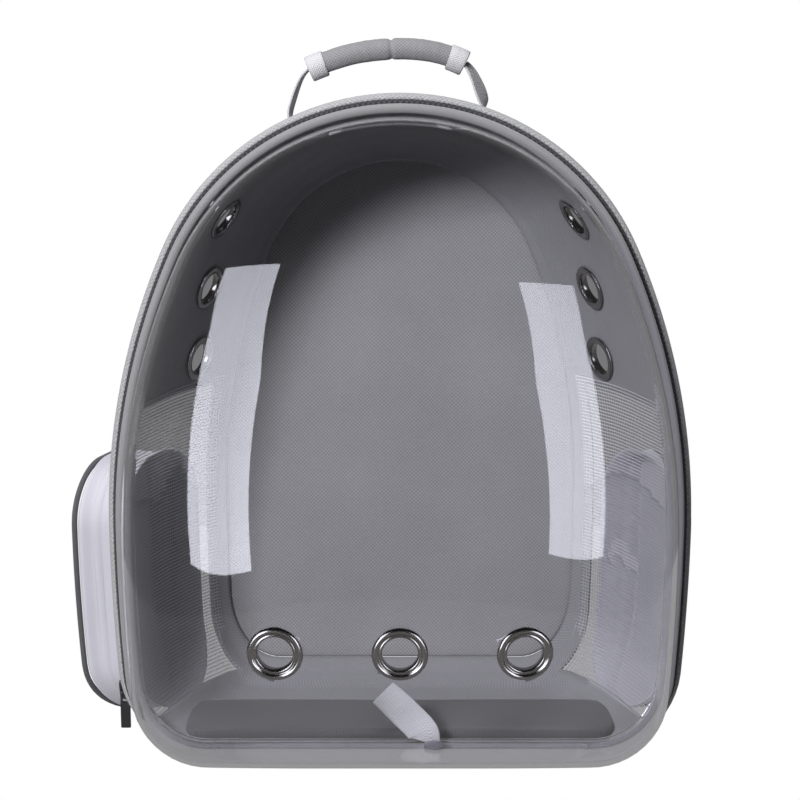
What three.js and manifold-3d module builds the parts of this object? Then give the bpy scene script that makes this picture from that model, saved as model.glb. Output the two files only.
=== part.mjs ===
// A pet carrier backpack with a clear front bubble. The bubble is clamped in a bound rim that is zipped
// to a soft cloth shell. The shell has mesh sides, vent eyelets, side pockets, a top handle and
// shoulder straps. Millimetres, +Z up, the bubble faces -Y, and the origin is under the shell's floor.
import * as THREE from "three";
import { mergeVertices } from "three/addons/utils/BufferGeometryUtils.js";
import Module from "manifold-3d";

const wasm = await Module();
wasm.setup();

// Outline of the rim, seen from the front
const HALF_WIDTH = 183.5;
const BODY_HEIGHT = 420;
const WIDEST_HEIGHT = 150;
const TOP_RADIUS = 160;
const CORNER_RADIUS = 58;
const LOWER_SIDE_RADIUS = 1300;
const BOTTOM_SHARE = 0.64; // how much of a ring's inset it keeps along the base

// Small running gap between pieces that touch
const GAP = 0.3;

// Rim bands, as insets from the outline and depths from the zip's plane
const CORD_BAND_WIDTH = 12;
const CORD_BAND_FRONT = 1.5;
const CORD_BAND_BACK = 8;
const BINDING_OUTER = 5;
const BINDING_WIDTH = 7.2;
const BINDING_DEPTH = 6;
const ZIP_OUTER = 3.4;
const ZIP_WIDTH = 6;
const ZIP_HALF_DEPTH = 1.1;
const BAND_ROUNDING = 2;

// Bubble
const BUBBLE_DEPTH = 115;
const BUBBLE_WALL = 2;
const BUBBLE_POWER = 3.4; // of the superellipse that its side view follows
const BUBBLE_CENTRE_HEIGHT = 190;
const SOFT_CORNER_RADIUS = 120; // corners of its outline towards the middle
const FLANGE_INSET = 7;

// Cloth shell
const SHELL_DEPTH = 130;
const SHELL_WALL = 3;
const SIDE_TAPER = 62;
const TOP_TAPER = 46;
const BASE_RISE = 22;
const BACK_PANEL_THICKNESS = 6;
const BACK_PIPING_RADIUS = 2;

// Mesh sides and pockets
const MESH_TOP = 222;
const MESH_BOTTOM = 17;
const MESH_FRONT = 15;
const MESH_BACK = 118;
const MESH_THICKNESS = 1;
const MESH_LAP = 3.5;
const MESH_CLEARANCE = 0.5;
const POCKET_TOP = 184;
const POCKET_BOTTOM = 14;
const POCKET_FRONT = 18;
const POCKET_BACK = 112;
const POCKET_CORNER = 38;
const POCKET_WALL = 2;
const LEFT_POCKET_TAPER = 30;
const RIGHT_POCKET_TAPER = 14;
const LEFT_POCKET_BULGE = 22; // past the rim's outline
const RIGHT_POCKET_BULGE = -2;
const POCKET_PIPING_RADIUS = 1.8;
const PIPING_CLEARANCE = 0.75;
const PIPING_STEPS = 30;

// Eyelets
const EYELET_HOLE = 10.5;
const EYELET_BARREL = 12.3;
const EYELET_FLANGE = 16.5;
const EYELET_FLANGE_THICKNESS = 2;
const EYELET_WASHER = 15.2;
const EYELET_WASHER_THICKNESS = 1.1;
const SHEET_HOLE = EYELET_BARREL + 0.5;
const FRONT_EYELET_SPACING = 72.5;
const FRONT_EYELET_HEIGHT = 104;
const SIDE_EYELET_CLEARANCE = 21; // of the lowest one's middle over the mesh window
const SIDE_EYELET_SPACING = 49.5;
const SIDE_EYELET_DEPTHS = [96, 84, 62]; // from the lowest up

// Top handle
const HANDLE_DEPTH = 34;
const GRIP_RADIUS = 7;
const GRIP_HEIGHT = 445;
const GRIP_ARCH = 14;
const GRIP_LEFT = 56;
const GRIP_RIGHT = 40;
const HANDLE_FLARE = 12;
const HANDLE_FOOT = 16;
const FOOT_BEND = 1.2;
const WEBBING_THICKNESS = 1.6;
const HANDLE_WEBBING_WIDTH = 20;

// Back padding and shoulder straps
const BACK_PAD_THICKNESS = 12;
const BACK_PAD_HALF_WIDTH = 96;
const BACK_PAD_BOTTOM = 78;
const BACK_PAD_TOP = 300;
const BACK_PAD_CORNER = 34;
const STRAP_TOP = 352;
const STRAP_BOTTOM = 132;
const STRAP_WIDTH = 58;
const STRAP_THICKNESS = 9;
const STRAP_TOP_SIDE = 48;
const STRAP_SPREAD = 31; // how much further out the padded strap ends
const STRAP_BOW = 14; // how far it stands off the pad in the middle
const STRAP_LEAN = 0.12;
const STRAP_WEBBING_WIDTH = 25;
const STRAP_FOOT_SIDE = 92;
const STRAP_FOOT_LENGTH = 14;
const BUCKLE_WIDTH = 34;
const BUCKLE_LENGTH = 26;
const BUCKLE_THICKNESS = 6;
const BUCKLE_DROP = 2.5;
const BUCKLE_SHIFT = 1;

// Inside
const MAT_THICKNESS = 9;
const MAT_FRONT = 11;
const MAT_BACK = 72;
const MAT_HALF_WIDTH = 142;
const MAT_CORNER = 14;
const MAT_ROUNDING = 2.5;
const TAB_WIDTH = 20;
const STUD_RADIUS = 7;
const STUD_DEPTH = -16;
const STUD_SIDE = 22;

// Slider and pull of the left pocket's zip
const SLIDER_LENGTH = 13;
const SLIDER_WIDTH = 7.6;
const SLIDER_THICKNESS = 3.4;
const SLIDER_SIDE = 178;
const SLIDER_TURN = 21.5; // degrees round the pocket's lower front corner
const BRIDGE_LENGTH = 9;
const BRIDGE_HEIGHT = 4.2;
const BRIDGE_WIDTH = 2;
const BRIDGE_WALL = 1.2;
const PULL_LENGTH = 24;
const PULL_WIDTH = 6.4;
const PULL_THICKNESS = 1.6;
const PULL_BAR = 0.7;
const PULL_EYE_WIDTH = 3.2;
const PULL_EYE_LENGTH = 5.4;

// The origin lies under the middle of the shell's floor, this far behind the zip's plane
const ORIGIN_DEPTH = 65;

const CLOTH = { roughness: 0.95, metalness: 0 };
const MATERIALS = {
  clear: new THREE.MeshStandardMaterial({ color: 0xd9d9e2, roughness: 0.05, metalness: 0, transparent: true, opacity: 0.3 }),
  oxford: new THREE.MeshStandardMaterial({ color: 0x8d8d90, ...CLOTH }),
  binding: new THREE.MeshStandardMaterial({ color: 0x7b7a7c, ...CLOTH }),
  mesh: new THREE.MeshStandardMaterial({ color: 0xb9b9bb, ...CLOTH }),
  pocket: new THREE.MeshStandardMaterial({ color: 0xcbcad2, ...CLOTH }),
  webbing: new THREE.MeshStandardMaterial({ color: 0xb1b0b6, ...CLOTH }),
  zip: new THREE.MeshStandardMaterial({ color: 0x3a3a3d, ...CLOTH }),
  metal: new THREE.MeshStandardMaterial({ color: 0x77767a, roughness: 0.2, metalness: 1 }),
  plastic: new THREE.MeshStandardMaterial({ color: 0x1d1d20, roughness: 0.5, metalness: 0 }),
};

const part = new THREE.Group();
const bag = new THREE.Group();
bag.position.y = -ORIGIN_DEPTH;
part.add(bag);

function piece(name, geometry, material, place = {}) {
  const mesh = new THREE.Mesh(geometry, material);
  mesh.name = name;
  if (place.position) mesh.position.copy(place.position);
  if (place.quaternion) mesh.quaternion.copy(place.quaternion);
  bag.add(mesh);
  mesh.updateMatrixWorld(true);
  return mesh;
}

// Booleans: a closed geometry as a solid, and a solid as a geometry.
function solid(geometry) {
  const bare = geometry.clone();
  bare.deleteAttribute("normal");
  bare.deleteAttribute("uv");
  const merged = mergeVertices(bare, 1e-4);
  return new wasm.Manifold(
    new wasm.Mesh({
      numProp: 3,
      vertProperties: new Float32Array(merged.attributes.position.array),
      triVerts: new Uint32Array(merged.index.array),
    }),
  );
}

function shapeOf(body) {
  const mesh = body.getMesh();
  const geometry = new THREE.BufferGeometry();
  geometry.setAttribute("position", new THREE.BufferAttribute(new Float32Array(mesh.vertProperties), 3));
  geometry.setIndex(new THREE.BufferAttribute(new Uint32Array(mesh.triVerts), 1));
  return geometry;
}

// A closed surface through rings of equally many points. It wraps round from the last ring to the first,
// or else closes each end with a fan about its middle. Its faces end up pointing outwards.
function loft(rings, wrap) {
  const count = rings[0].length;
  const points = rings.flat();
  const faces = [];
  const last = wrap ? rings.length : rings.length - 1;
  for (let r = 0; r < last; r++) {
    const a = r * count;
    const b = ((r + 1) % rings.length) * count;
    for (let i = 0; i < count; i++) {
      const j = (i + 1) % count;
      faces.push(a + i, b + i, b + j, a + i, b + j, a + j);
    }
  }
  if (!wrap) {
    for (const [start, forward] of [[0, false], [(rings.length - 1) * count, true]]) {
      const middle = new THREE.Vector3();
      for (let i = 0; i < count; i++) middle.addScaledVector(points[start + i], 1 / count);
      const hub = points.push(middle) - 1;
      for (let i = 0; i < count; i++) {
        const [p, q] = [start + i, start + ((i + 1) % count)];
        faces.push(...(forward ? [hub, q, p] : [hub, p, q]));
      }
    }
  }
  let volume = 0;
  for (let f = 0; f < faces.length; f += 3) {
    const [p, q, r] = [points[faces[f]], points[faces[f + 1]], points[faces[f + 2]]];
    volume += p.dot(new THREE.Vector3().crossVectors(q, r));
  }
  const geometry = new THREE.BufferGeometry().setFromPoints(points);
  geometry.setIndex(volume > 0 ? faces : faces.reverse());
  return geometry;
}

// The rim's outline, pulled in by side, top and bottom insets, as points in the plane y = depth.
// It is a crown arc, two long side arcs, two lower side arcs, two corner arcs and a flat base.
const STEPS = { crown: 12, side: 4, lower: 2, corner: 4, base: 4 };

function outline({ side, top = side, bottom = side * BOTTOM_SHARE, corner = CORNER_RADIUS - side, depth = 0 }) {
  const half = HALF_WIDTH - side;
  const crownRadius = TOP_RADIUS - side;
  const cornerRadius = Math.max(corner, 14);
  const crownCentre = BODY_HEIGHT - side - crownRadius;
  const rise = crownCentre - WIDEST_HEIGHT;
  const sideRadius = (half ** 2 + rise ** 2 - crownRadius ** 2) / (2 * (half - crownRadius));
  const crownEnd = Math.atan2(rise, sideRadius - half);
  const lowerCentre = half - LOWER_SIDE_RADIUS;
  const cornerHeight = side + cornerRadius;
  const reach = Math.sqrt((LOWER_SIDE_RADIUS - cornerRadius) ** 2 - (WIDEST_HEIGHT - cornerHeight) ** 2);
  const cornerSide = lowerCentre + reach;
  const lowerEnd = Math.atan2(cornerHeight - WIDEST_HEIGHT, reach);
  const right = [];
  const arc = (cx, cz, radius, from, to, steps) => {
    for (let i = 0; i < steps; i++) {
      const a = from + ((to - from) * i) / steps;
      right.push([cx + radius * Math.cos(a), cz + radius * Math.sin(a)]);
    }
  };
  arc(0, crownCentre, crownRadius, Math.PI / 2, crownEnd, STEPS.crown / 2);
  arc(half - sideRadius, WIDEST_HEIGHT, sideRadius, crownEnd, 0, STEPS.side);
  arc(lowerCentre, WIDEST_HEIGHT, LOWER_SIDE_RADIUS, 0, lowerEnd, STEPS.lower);
  arc(cornerSide, cornerHeight, cornerRadius, lowerEnd, -Math.PI / 2, STEPS.corner);
  for (let i = 0; i <= STEPS.base / 2; i++) right.push([cornerSide * (1 - (2 * i) / STEPS.base), side]);
  const left = right.slice(1, -1).reverse().map(([x, z]) => [-x, z]);
  const lowSpan = (WIDEST_HEIGHT - bottom) / (WIDEST_HEIGHT - side);
  const highSpan = (BODY_HEIGHT - top - WIDEST_HEIGHT) / (BODY_HEIGHT - side - WIDEST_HEIGHT);
  return [...right, ...left].map(([x, z]) => {
    const height = z - WIDEST_HEIGHT;
    return new THREE.Vector3(x, depth, WIDEST_HEIGHT + height * (height < 0 ? lowSpan : highSpan));
  });
}

// A band that runs round the rim: a flat strip from one inset to another, with its outer edges rounded.
function band(outer, width, front, back, rounding) {
  const inner = outer + width;
  const section = [
    [inner, front],
    [inner, back],
    [outer + rounding, back],
    [outer, back - rounding],
    [outer, front + rounding],
    [outer + rounding, front],
  ];
  const plain = [section[0], section[1], [outer, back], [outer, front]];
  return loft((rounding ? section : plain).map(([side, depth]) => outline({ side, depth })), true);
}

// The cloth shell's sections from rim to back, as shares of its depth and its tapers.
const SHELL_SECTIONS = [
  { depth: 0.066, side: 0.02, top: 0.03, base: 0 },
  { depth: 0.27, side: 0.16, top: 0.13, base: 0 },
  { depth: 0.5, side: 0.34, top: 0.28, base: 0 },
  { depth: 0.71, side: 0.55, top: 0.48, base: 0 },
  { depth: 0.86, side: 0.74, top: 0.67, base: 0.18 },
  { depth: 0.955, side: 0.89, top: 0.85, base: 0.55 },
  { depth: 1, side: 1, top: 1, base: 1 },
];

function shellRing(section, inward) {
  return outline({
    side: section.side * SIDE_TAPER + inward,
    top: section.top * TOP_TAPER + inward,
    bottom: section.base * BASE_RISE + inward,
    corner: CORNER_RADIUS - section.side * SIDE_TAPER * 0.35 - inward,
    depth: section.depth * SHELL_DEPTH,
  });
}

// The whole space inside the shell's outer face, grown outwards by a clearance, as a solid.
function shellSpace(inward) {
  return solid(loft(SHELL_SECTIONS.map((s) => shellRing(s, inward)), false));
}

// A layer of cloth that follows the shell, between two distances inside its outer face.
function shellLayer(outer, inner) {
  const outside = SHELL_SECTIONS.map((s) => shellRing(s, outer));
  const inside = SHELL_SECTIONS.map((s) => shellRing(s, inner)).reverse();
  return solid(loft([...outside, ...inside], true));
}

function roundedShape(left, right, low, high, radius) {
  const shape = new THREE.Shape();
  shape.moveTo(left + radius, low);
  shape.lineTo(right - radius, low);
  shape.absarc(right - radius, low + radius, radius, -Math.PI / 2, 0, false);
  shape.absarc(right - radius, high - radius, radius, 0, Math.PI / 2, false);
  shape.absarc(left + radius, high - radius, radius, Math.PI / 2, Math.PI, false);
  shape.absarc(left + radius, low + radius, radius, Math.PI, 1.5 * Math.PI, false);
  return shape;
}

// A prism along X over a rounded rectangle of depths and heights.
function sidePrism(front, back, low, high, radius, from, to) {
  const shape = roundedShape(front, back, low, high, radius);
  const geometry = new THREE.ExtrudeGeometry(shape, { depth: to - from, bevelEnabled: false, curveSegments: 4 });
  const axes = new THREE.Matrix4().makeBasis(
    new THREE.Vector3(0, 1, 0),
    new THREE.Vector3(0, 0, 1),
    new THREE.Vector3(1, 0, 0),
  );
  return solid(geometry.applyMatrix4(axes.setPosition(from, 0, 0)));
}

// The point where a line along an axis first meets a mesh, and the surface's outward direction there,
// taken over a patch as wide as an eyelet.
function seatOn(mesh, from, towards) {
  const ray = new THREE.Raycaster();
  const across = new THREE.Vector3(towards.y, towards.z, towards.x);
  const up = towards.clone().cross(across).normalize();
  const hit = (a, b) => {
    const start = from.clone().addScaledVector(across, a).addScaledVector(up, b);
    ray.set(bag.localToWorld(start), towards);
    return bag.worldToLocal(ray.intersectObject(mesh, false)[0].point.clone());
  };
  const patch = EYELET_BARREL;
  const rightwards = hit(patch, 0).sub(hit(-patch, 0));
  const upwards = hit(0, patch).sub(hit(0, -patch));
  const normal = rightwards.cross(upwards).normalize();
  if (normal.dot(towards) > 0) normal.negate();
  return { point: hit(0, 0), normal };
}

function turned(normal) {
  return new THREE.Quaternion().setFromUnitVectors(new THREE.Vector3(0, 0, 1), normal);
}

// A round cutter through a sheet at a seat.
function drill(seat, radius) {
  const length = 30;
  const cylinder = new THREE.CylinderGeometry(radius, radius, length, 16).rotateX(Math.PI / 2);
  cylinder.applyQuaternion(turned(seat.normal));
  return solid(cylinder.translate(seat.point.x, seat.point.y, seat.point.z));
}

// A metal eyelet: its flange lies on the sheet's outer face, and its rolled washer behind the sheet.
function eyelet(sheet, slack) {
  const back = -sheet - slack;
  const profile = [
    [EYELET_HOLE, back - EYELET_WASHER_THICKNESS],
    [EYELET_WASHER, back - EYELET_WASHER_THICKNESS],
    [EYELET_WASHER, back],
    [EYELET_BARREL, back],
    [EYELET_BARREL, GAP],
    [EYELET_FLANGE, GAP],
    [(EYELET_FLANGE + EYELET_BARREL) / 2, GAP + EYELET_FLANGE_THICKNESS],
    [EYELET_HOLE, GAP + EYELET_FLANGE_THICKNESS / 2],
    [EYELET_HOLE, back - EYELET_WASHER_THICKNESS],
  ].map(([r, h]) => new THREE.Vector2(r, h));
  return new THREE.LatheGeometry(profile, 12).rotateX(Math.PI / 2);
}

// A flat ribbon through stations, each a point and the direction of the ribbon's width there.
function ribbon(stations, width, thickness, steps) {
  const route = new THREE.CatmullRomCurve3(stations.map((s) => s.point));
  const twist = new THREE.CatmullRomCurve3(stations.map((s) => s.across));
  const rings = [];
  for (let i = 0; i <= steps; i++) {
    const [point, tangent] = [route.getPoint(i / steps), route.getTangent(i / steps)];
    const across = twist.getPoint(i / steps);
    const side = across.addScaledVector(tangent, -across.dot(tangent)).normalize();
    const up = new THREE.Vector3().crossVectors(tangent, side);
    const corner = (a, b) =>
      point.clone().addScaledVector(side, (a * width) / 2).addScaledVector(up, (b * thickness) / 2);
    rings.push([corner(-1, -1), corner(1, -1), corner(1, 1), corner(-1, 1)]);
  }
  return loft(rings, false);
}

// A tube along a closed or open row of points, with a given number of sides.
function tube(points, radius, sides, closed, reference) {
  const last = points.length - 1;
  const rings = points.map((point, i) => {
    const before = points[closed ? (i + last) % points.length : Math.max(i - 1, 0)];
    const after = points[closed ? (i + 1) % points.length : Math.min(i + 1, last)];
    const tangent = after.clone().sub(before).normalize();
    const side = reference.clone().addScaledVector(tangent, -reference.dot(tangent)).normalize();
    const up = new THREE.Vector3().crossVectors(tangent, side);
    return Array.from({ length: sides }, (_, s) => {
      const a = (2 * Math.PI * s) / sides;
      return point.clone().addScaledVector(side, radius * Math.cos(a)).addScaledVector(up, radius * Math.sin(a));
    });
  });
  return loft(rings, closed);
}

// A padded block with rounded edges, over a plan outline given as points.
function pad(plan, thickness, rounding, lift) {
  const middle = new THREE.Vector3();
  plan.forEach((p) => middle.addScaledVector(p, 1 / plan.length));
  const level = (share, height) =>
    plan.map((p) => {
      const inward = middle.clone().sub(p).normalize();
      return p.clone().addScaledVector(inward, rounding * share).addScaledVector(lift, height);
    });
  return loft([level(1, 0), level(0, rounding), level(0, thickness - rounding), level(1, thickness)], false);
}

// Clear bubble
const BUBBLE_INSET = BINDING_OUTER + BINDING_WIDTH + GAP;
const FLANGE_FRONT = -ZIP_HALF_DEPTH - GAP - BUBBLE_WALL;

function bubbleRing(turn, wall) {
  const spread = Math.cos(turn) ** (2 / BUBBLE_POWER);
  const advance = Math.sin(turn) ** (2 / BUBBLE_POWER);
  const side = BUBBLE_INSET + wall;
  const reach = BUBBLE_DEPTH - wall;
  const firm = outline({ side, corner: CORNER_RADIUS - side });
  const soft = outline({ side, corner: SOFT_CORNER_RADIUS });
  const centre = new THREE.Vector3(0, 0, BUBBLE_CENTRE_HEIGHT);
  return firm.map((p, i) => {
    const point = p.clone().lerp(soft[i], 1 - spread).sub(centre).multiplyScalar(spread).add(centre);
    point.y = FLANGE_FRONT + (FLANGE_FRONT + reach) * -advance;
    return point;
  });
}

const BUBBLE_TURNS = [0.04, 0.16, 0.32, 0.5, 0.7, 0.88, 1.06, 1.24, 1.42];
const bubbleOuter = BUBBLE_TURNS.map((turn) => bubbleRing(turn, 0)).reverse();
const bubbleInner = BUBBLE_TURNS.map((turn) => bubbleRing(turn, BUBBLE_WALL));
const flange = [
  outline({ side: BUBBLE_INSET, depth: FLANGE_FRONT }),
  outline({ side: FLANGE_INSET, depth: FLANGE_FRONT }),
  outline({ side: FLANGE_INSET, depth: FLANGE_FRONT + BUBBLE_WALL }),
  outline({ side: BUBBLE_INSET + BUBBLE_WALL, depth: FLANGE_FRONT + BUBBLE_WALL }),
];
const bubbleBlank = new THREE.Mesh(
  loft([...bubbleOuter, ...flange, ...bubbleInner], false),
  new THREE.MeshBasicMaterial({ side: THREE.DoubleSide }),
);
bag.add(bubbleBlank);
bubbleBlank.updateWorldMatrix(true, false);

const frontSeats = [-1, 0, 1].map((n) =>
  seatOn(
    bubbleBlank,
    new THREE.Vector3(n * FRONT_EYELET_SPACING, -2 * BUBBLE_DEPTH, FRONT_EYELET_HEIGHT),
    new THREE.Vector3(0, 1, 0),
  ),
);
const studSeat = seatOn(
  bubbleBlank,
  new THREE.Vector3(STUD_SIDE, STUD_DEPTH, -BODY_HEIGHT / 4),
  new THREE.Vector3(0, 0, 1),
);
bag.remove(bubbleBlank);

let bubble = solid(bubbleBlank.geometry);
for (const seat of frontSeats) bubble = bubble.subtract(drill(seat, SHEET_HOLE));
piece("bubble_dome", shapeOf(bubble), MATERIALS.clear);

const FRONT_SLACK = 1.4; // the sheet curves away under the washer
["left", "middle", "right"].forEach((word, i) => {
  const seat = frontSeats[i];
  const place = { position: seat.point, quaternion: turned(seat.normal) };
  piece(`front_eyelet_${word}`, eyelet(BUBBLE_WALL, FRONT_SLACK), MATERIALS.metal, place);
});

// Rim: binding over the bubble's flange, zip, and corded band at the shell's mouth
const bindingFront = FLANGE_FRONT - GAP - BINDING_DEPTH;
piece(
  "front_binding",
  band(BINDING_OUTER, BINDING_WIDTH, bindingFront, FLANGE_FRONT - GAP, BAND_ROUNDING),
  MATERIALS.binding,
);
piece("rim_zip", band(ZIP_OUTER, ZIP_WIDTH, -ZIP_HALF_DEPTH, ZIP_HALF_DEPTH, 0), MATERIALS.zip);
piece("corded_band", band(0, CORD_BAND_WIDTH, CORD_BAND_FRONT, CORD_BAND_BACK, BAND_ROUNDING), MATERIALS.oxford);

// Cloth shell with its mesh windows and vent holes
const windowCut = sidePrism(MESH_FRONT, MESH_BACK, MESH_BOTTOM, MESH_TOP, 6, -HALF_WIDTH - 5, HALF_WIDTH + 5);
let shell = shellLayer(0, SHELL_WALL).subtract(windowCut);
const shellBlank = new THREE.Mesh(shapeOf(shell), new THREE.MeshBasicMaterial({ side: THREE.DoubleSide }));
bag.add(shellBlank);
shellBlank.updateWorldMatrix(true, false);
const sideSeats = [-1, 1].map((sign) =>
  SIDE_EYELET_DEPTHS.map((depth, n) => {
    const height = MESH_TOP + SIDE_EYELET_CLEARANCE + n * SIDE_EYELET_SPACING;
    const outside = new THREE.Vector3(sign * 2 * HALF_WIDTH, depth, height);
    return seatOn(shellBlank, outside, new THREE.Vector3(-sign, 0, 0));
  }),
);
bag.remove(shellBlank);
for (const seat of sideSeats.flat()) shell = shell.subtract(drill(seat, SHEET_HOLE));
const shellMesh = piece("cloth_shell", shapeOf(shell), MATERIALS.oxford);

const SIDE_SLACK = 1.2;
["left", "right"].forEach((word, i) =>
  sideSeats[i].forEach((seat, n) => {
    const place = { position: seat.point, quaternion: turned(seat.normal) };
    piece(`side_eyelet_${word}_${n + 1}`, eyelet(SHELL_WALL, SIDE_SLACK), MATERIALS.metal, place);
  }),
);

// Mesh panels, sewn to the inside of the shell round each window
const meshLayer = shellLayer(SHELL_WALL + MESH_CLEARANCE, SHELL_WALL + MESH_CLEARANCE + MESH_THICKNESS);
for (const [word, from, to] of [["left", -HALF_WIDTH - 5, 0], ["right", 0, HALF_WIDTH + 5]]) {
  const reach = sidePrism(
    MESH_FRONT - MESH_LAP,
    MESH_BACK + MESH_LAP,
    MESH_BOTTOM - MESH_LAP,
    MESH_TOP + MESH_LAP,
    6,
    from,
    to,
  );
  piece(`mesh_panel_${word}`, shapeOf(meshLayer.intersect(reach)), MATERIALS.mesh);
}

// Back panel and the piping round it
const backRing = SHELL_SECTIONS[SHELL_SECTIONS.length - 1];
const backAt = (inward, depth) => shellRing(backRing, inward).map((p) => p.setY(depth));
const backFront = SHELL_DEPTH + GAP;
const backRear = backFront + BACK_PANEL_THICKNESS;
piece(
  "back_panel",
  loft([backAt(0, backFront), backAt(0, backRear - 2), backAt(2, backRear)], false),
  MATERIALS.oxford,
);
piece(
  "back_piping",
  tube(
    backAt(-BACK_PIPING_RADIUS - GAP, backFront + BACK_PIPING_RADIUS),
    BACK_PIPING_RADIUS,
    5,
    true,
    new THREE.Vector3(0, 1, 0),
  ),
  MATERIALS.binding,
);

// Side pockets: a hollow bellows of cloth over each mesh window, with piping round its outer face
const keepOut = shellSpace(-GAP);

// The pocket's outer face follows the rim's outline, moved out by the bulge and slanting in behind it.
function faceRing(inward, depth, taper) {
  const side = inward + (taper * (depth - POCKET_FRONT)) / (POCKET_BACK - POCKET_FRONT);
  return outline({ side, top: inward, bottom: inward, corner: CORNER_RADIUS - inward, depth });
}

function pocketFace(shift, inward, taper) {
  const rings = [0, SHELL_DEPTH].map((depth) => faceRing(inward, depth, taper));
  return solid(loft(rings, false)).translate([shift, 0, 0]);
}

function pocket(sign, bulge, taper) {
  const inner = sign * HALF_WIDTH * 0.4;
  const outer = sign * (HALF_WIDTH + 60);
  const [from, to] = [Math.min(inner, outer), Math.max(inner, outer)];
  const face = (wall) =>
    sidePrism(
      POCKET_FRONT + wall,
      POCKET_BACK - wall,
      POCKET_BOTTOM + wall,
      POCKET_TOP - wall,
      POCKET_CORNER - wall,
      from,
      to,
    ).intersect(pocketFace(sign * bulge, wall, taper));
  const hollow = face(0).subtract(face(POCKET_WALL)).subtract(keepOut);
  const shells = hollow.decompose().sort((a, b) => b.volume() - a.volume());
  return shapeOf(shells[0]);
}

// How far out the pocket's face lies at a depth and height, before its bulge is added.
function faceSide(inward, depth, height, taper) {
  const ring = faceRing(inward, depth, taper).filter((p) => p.x >= 0);
  const below = ring.findIndex((p, i) => i > 0 && p.z <= height && ring[i - 1].z > height);
  const [a, b] = [ring[below - 1], ring[below]];
  return b.x + ((a.x - b.x) * (height - b.z)) / (a.z - b.z);
}

function pocketPiping(sign, bulge, taper) {
  const r = POCKET_PIPING_RADIUS;
  const edge = roundedShape(
    POCKET_FRONT + r,
    POCKET_BACK - r,
    POCKET_BOTTOM + r,
    POCKET_TOP - r,
    POCKET_CORNER - r,
  );
  const points = edge.getSpacedPoints(PIPING_STEPS).slice(0, -1).map((p) => {
    const face = faceSide(-r - GAP - PIPING_CLEARANCE, p.x, p.y, taper) + bulge;
    return new THREE.Vector3(sign * face, p.x, p.y);
  });
  return tube(points, r, 5, true, new THREE.Vector3(1, 0, 0));
}

for (const { word, sign, bulge, taper } of [
  { word: "left", sign: -1, bulge: LEFT_POCKET_BULGE, taper: LEFT_POCKET_TAPER },
  { word: "right", sign: 1, bulge: RIGHT_POCKET_BULGE, taper: RIGHT_POCKET_TAPER },
]) {
  piece(`side_pocket_${word}`, pocket(sign, bulge, taper), MATERIALS.pocket);
  piece(`pocket_piping_${word}`, pocketPiping(sign, bulge, taper), MATERIALS.binding);
}

// Slider of the left pocket's zip: a plate with a bridge, through which the pull's eye is hung
const sliderTurn = THREE.MathUtils.degToRad(SLIDER_TURN);
const sliderNormal = new THREE.Vector3(0, -Math.cos(sliderTurn), -Math.sin(sliderTurn));
const sliderSeat = new THREE.Vector3(-SLIDER_SIDE, POCKET_FRONT + POCKET_CORNER, POCKET_BOTTOM + POCKET_CORNER)
  .addScaledVector(sliderNormal, POCKET_CORNER + GAP);
const half = SLIDER_LENGTH / 2;
const bridge = BRIDGE_LENGTH / 2;
const roof = SLIDER_THICKNESS + BRIDGE_HEIGHT;
const sliderShape = new THREE.Shape(
  [[-half, 0], [half, 0], [half, SLIDER_THICKNESS], [-half, SLIDER_THICKNESS]].map((p) => new THREE.Vector2(...p)),
);
const bridgeShape = new THREE.Shape(
  [
    [-bridge, SLIDER_THICKNESS - 1],
    [-bridge + BRIDGE_WALL, SLIDER_THICKNESS - 1],
    [-bridge + BRIDGE_WALL, roof - BRIDGE_WALL],
    [bridge - BRIDGE_WALL, roof - BRIDGE_WALL],
    [bridge - BRIDGE_WALL, SLIDER_THICKNESS - 1],
    [bridge, SLIDER_THICKNESS - 1],
    [bridge, roof - BRIDGE_WALL],
    [bridge - BRIDGE_WALL, roof],
    [-bridge + BRIDGE_WALL, roof],
    [-bridge, roof - BRIDGE_WALL],
  ].map((p) => new THREE.Vector2(...p)),
);
const alongX = new THREE.Matrix4().makeBasis(
  new THREE.Vector3(0, 1, 0),
  new THREE.Vector3(0, 0, 1),
  new THREE.Vector3(1, 0, 0),
);
const plate = (shape, width) =>
  solid(
    new THREE.ExtrudeGeometry(shape, { depth: width, bevelEnabled: false })
      .translate(0, 0, -width / 2)
      .applyMatrix4(alongX),
  );
piece("pocket_slider", shapeOf(plate(sliderShape, SLIDER_WIDTH).add(plate(bridgeShape, BRIDGE_WIDTH))), MATERIALS.metal, {
  position: sliderSeat,
  quaternion: new THREE.Quaternion().setFromAxisAngle(new THREE.Vector3(1, 0, 0), Math.PI / 2 + sliderTurn),
});

// Pull: it hangs straight down and swings about its top bar, which lies inside the bridge
const pullAxis = sliderSeat
  .clone()
  .addScaledVector(sliderNormal, SLIDER_THICKNESS + (BRIDGE_HEIGHT - BRIDGE_WALL) / 2);
const tipRadius = PULL_WIDTH / 2;
const pullShape = roundedShape(-tipRadius, tipRadius, -PULL_LENGTH, PULL_BAR, PULL_BAR);
pullShape.holes.push(
  new THREE.Path(
    [
      [-PULL_EYE_WIDTH / 2, -PULL_BAR],
      [-PULL_EYE_WIDTH / 2, -PULL_BAR - PULL_EYE_LENGTH],
      [PULL_EYE_WIDTH / 2, -PULL_BAR - PULL_EYE_LENGTH],
      [PULL_EYE_WIDTH / 2, -PULL_BAR],
    ].map((p) => new THREE.Vector2(...p)),
  ),
);
const pullPlate = new THREE.ExtrudeGeometry(pullShape, { depth: PULL_THICKNESS, bevelEnabled: false, curveSegments: 3 })
  .translate(0, 0, -PULL_THICKNESS / 2)
  .rotateX(Math.PI / 2);
piece("pocket_pull", pullPlate, MATERIALS.plastic, { position: pullAxis });

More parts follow.
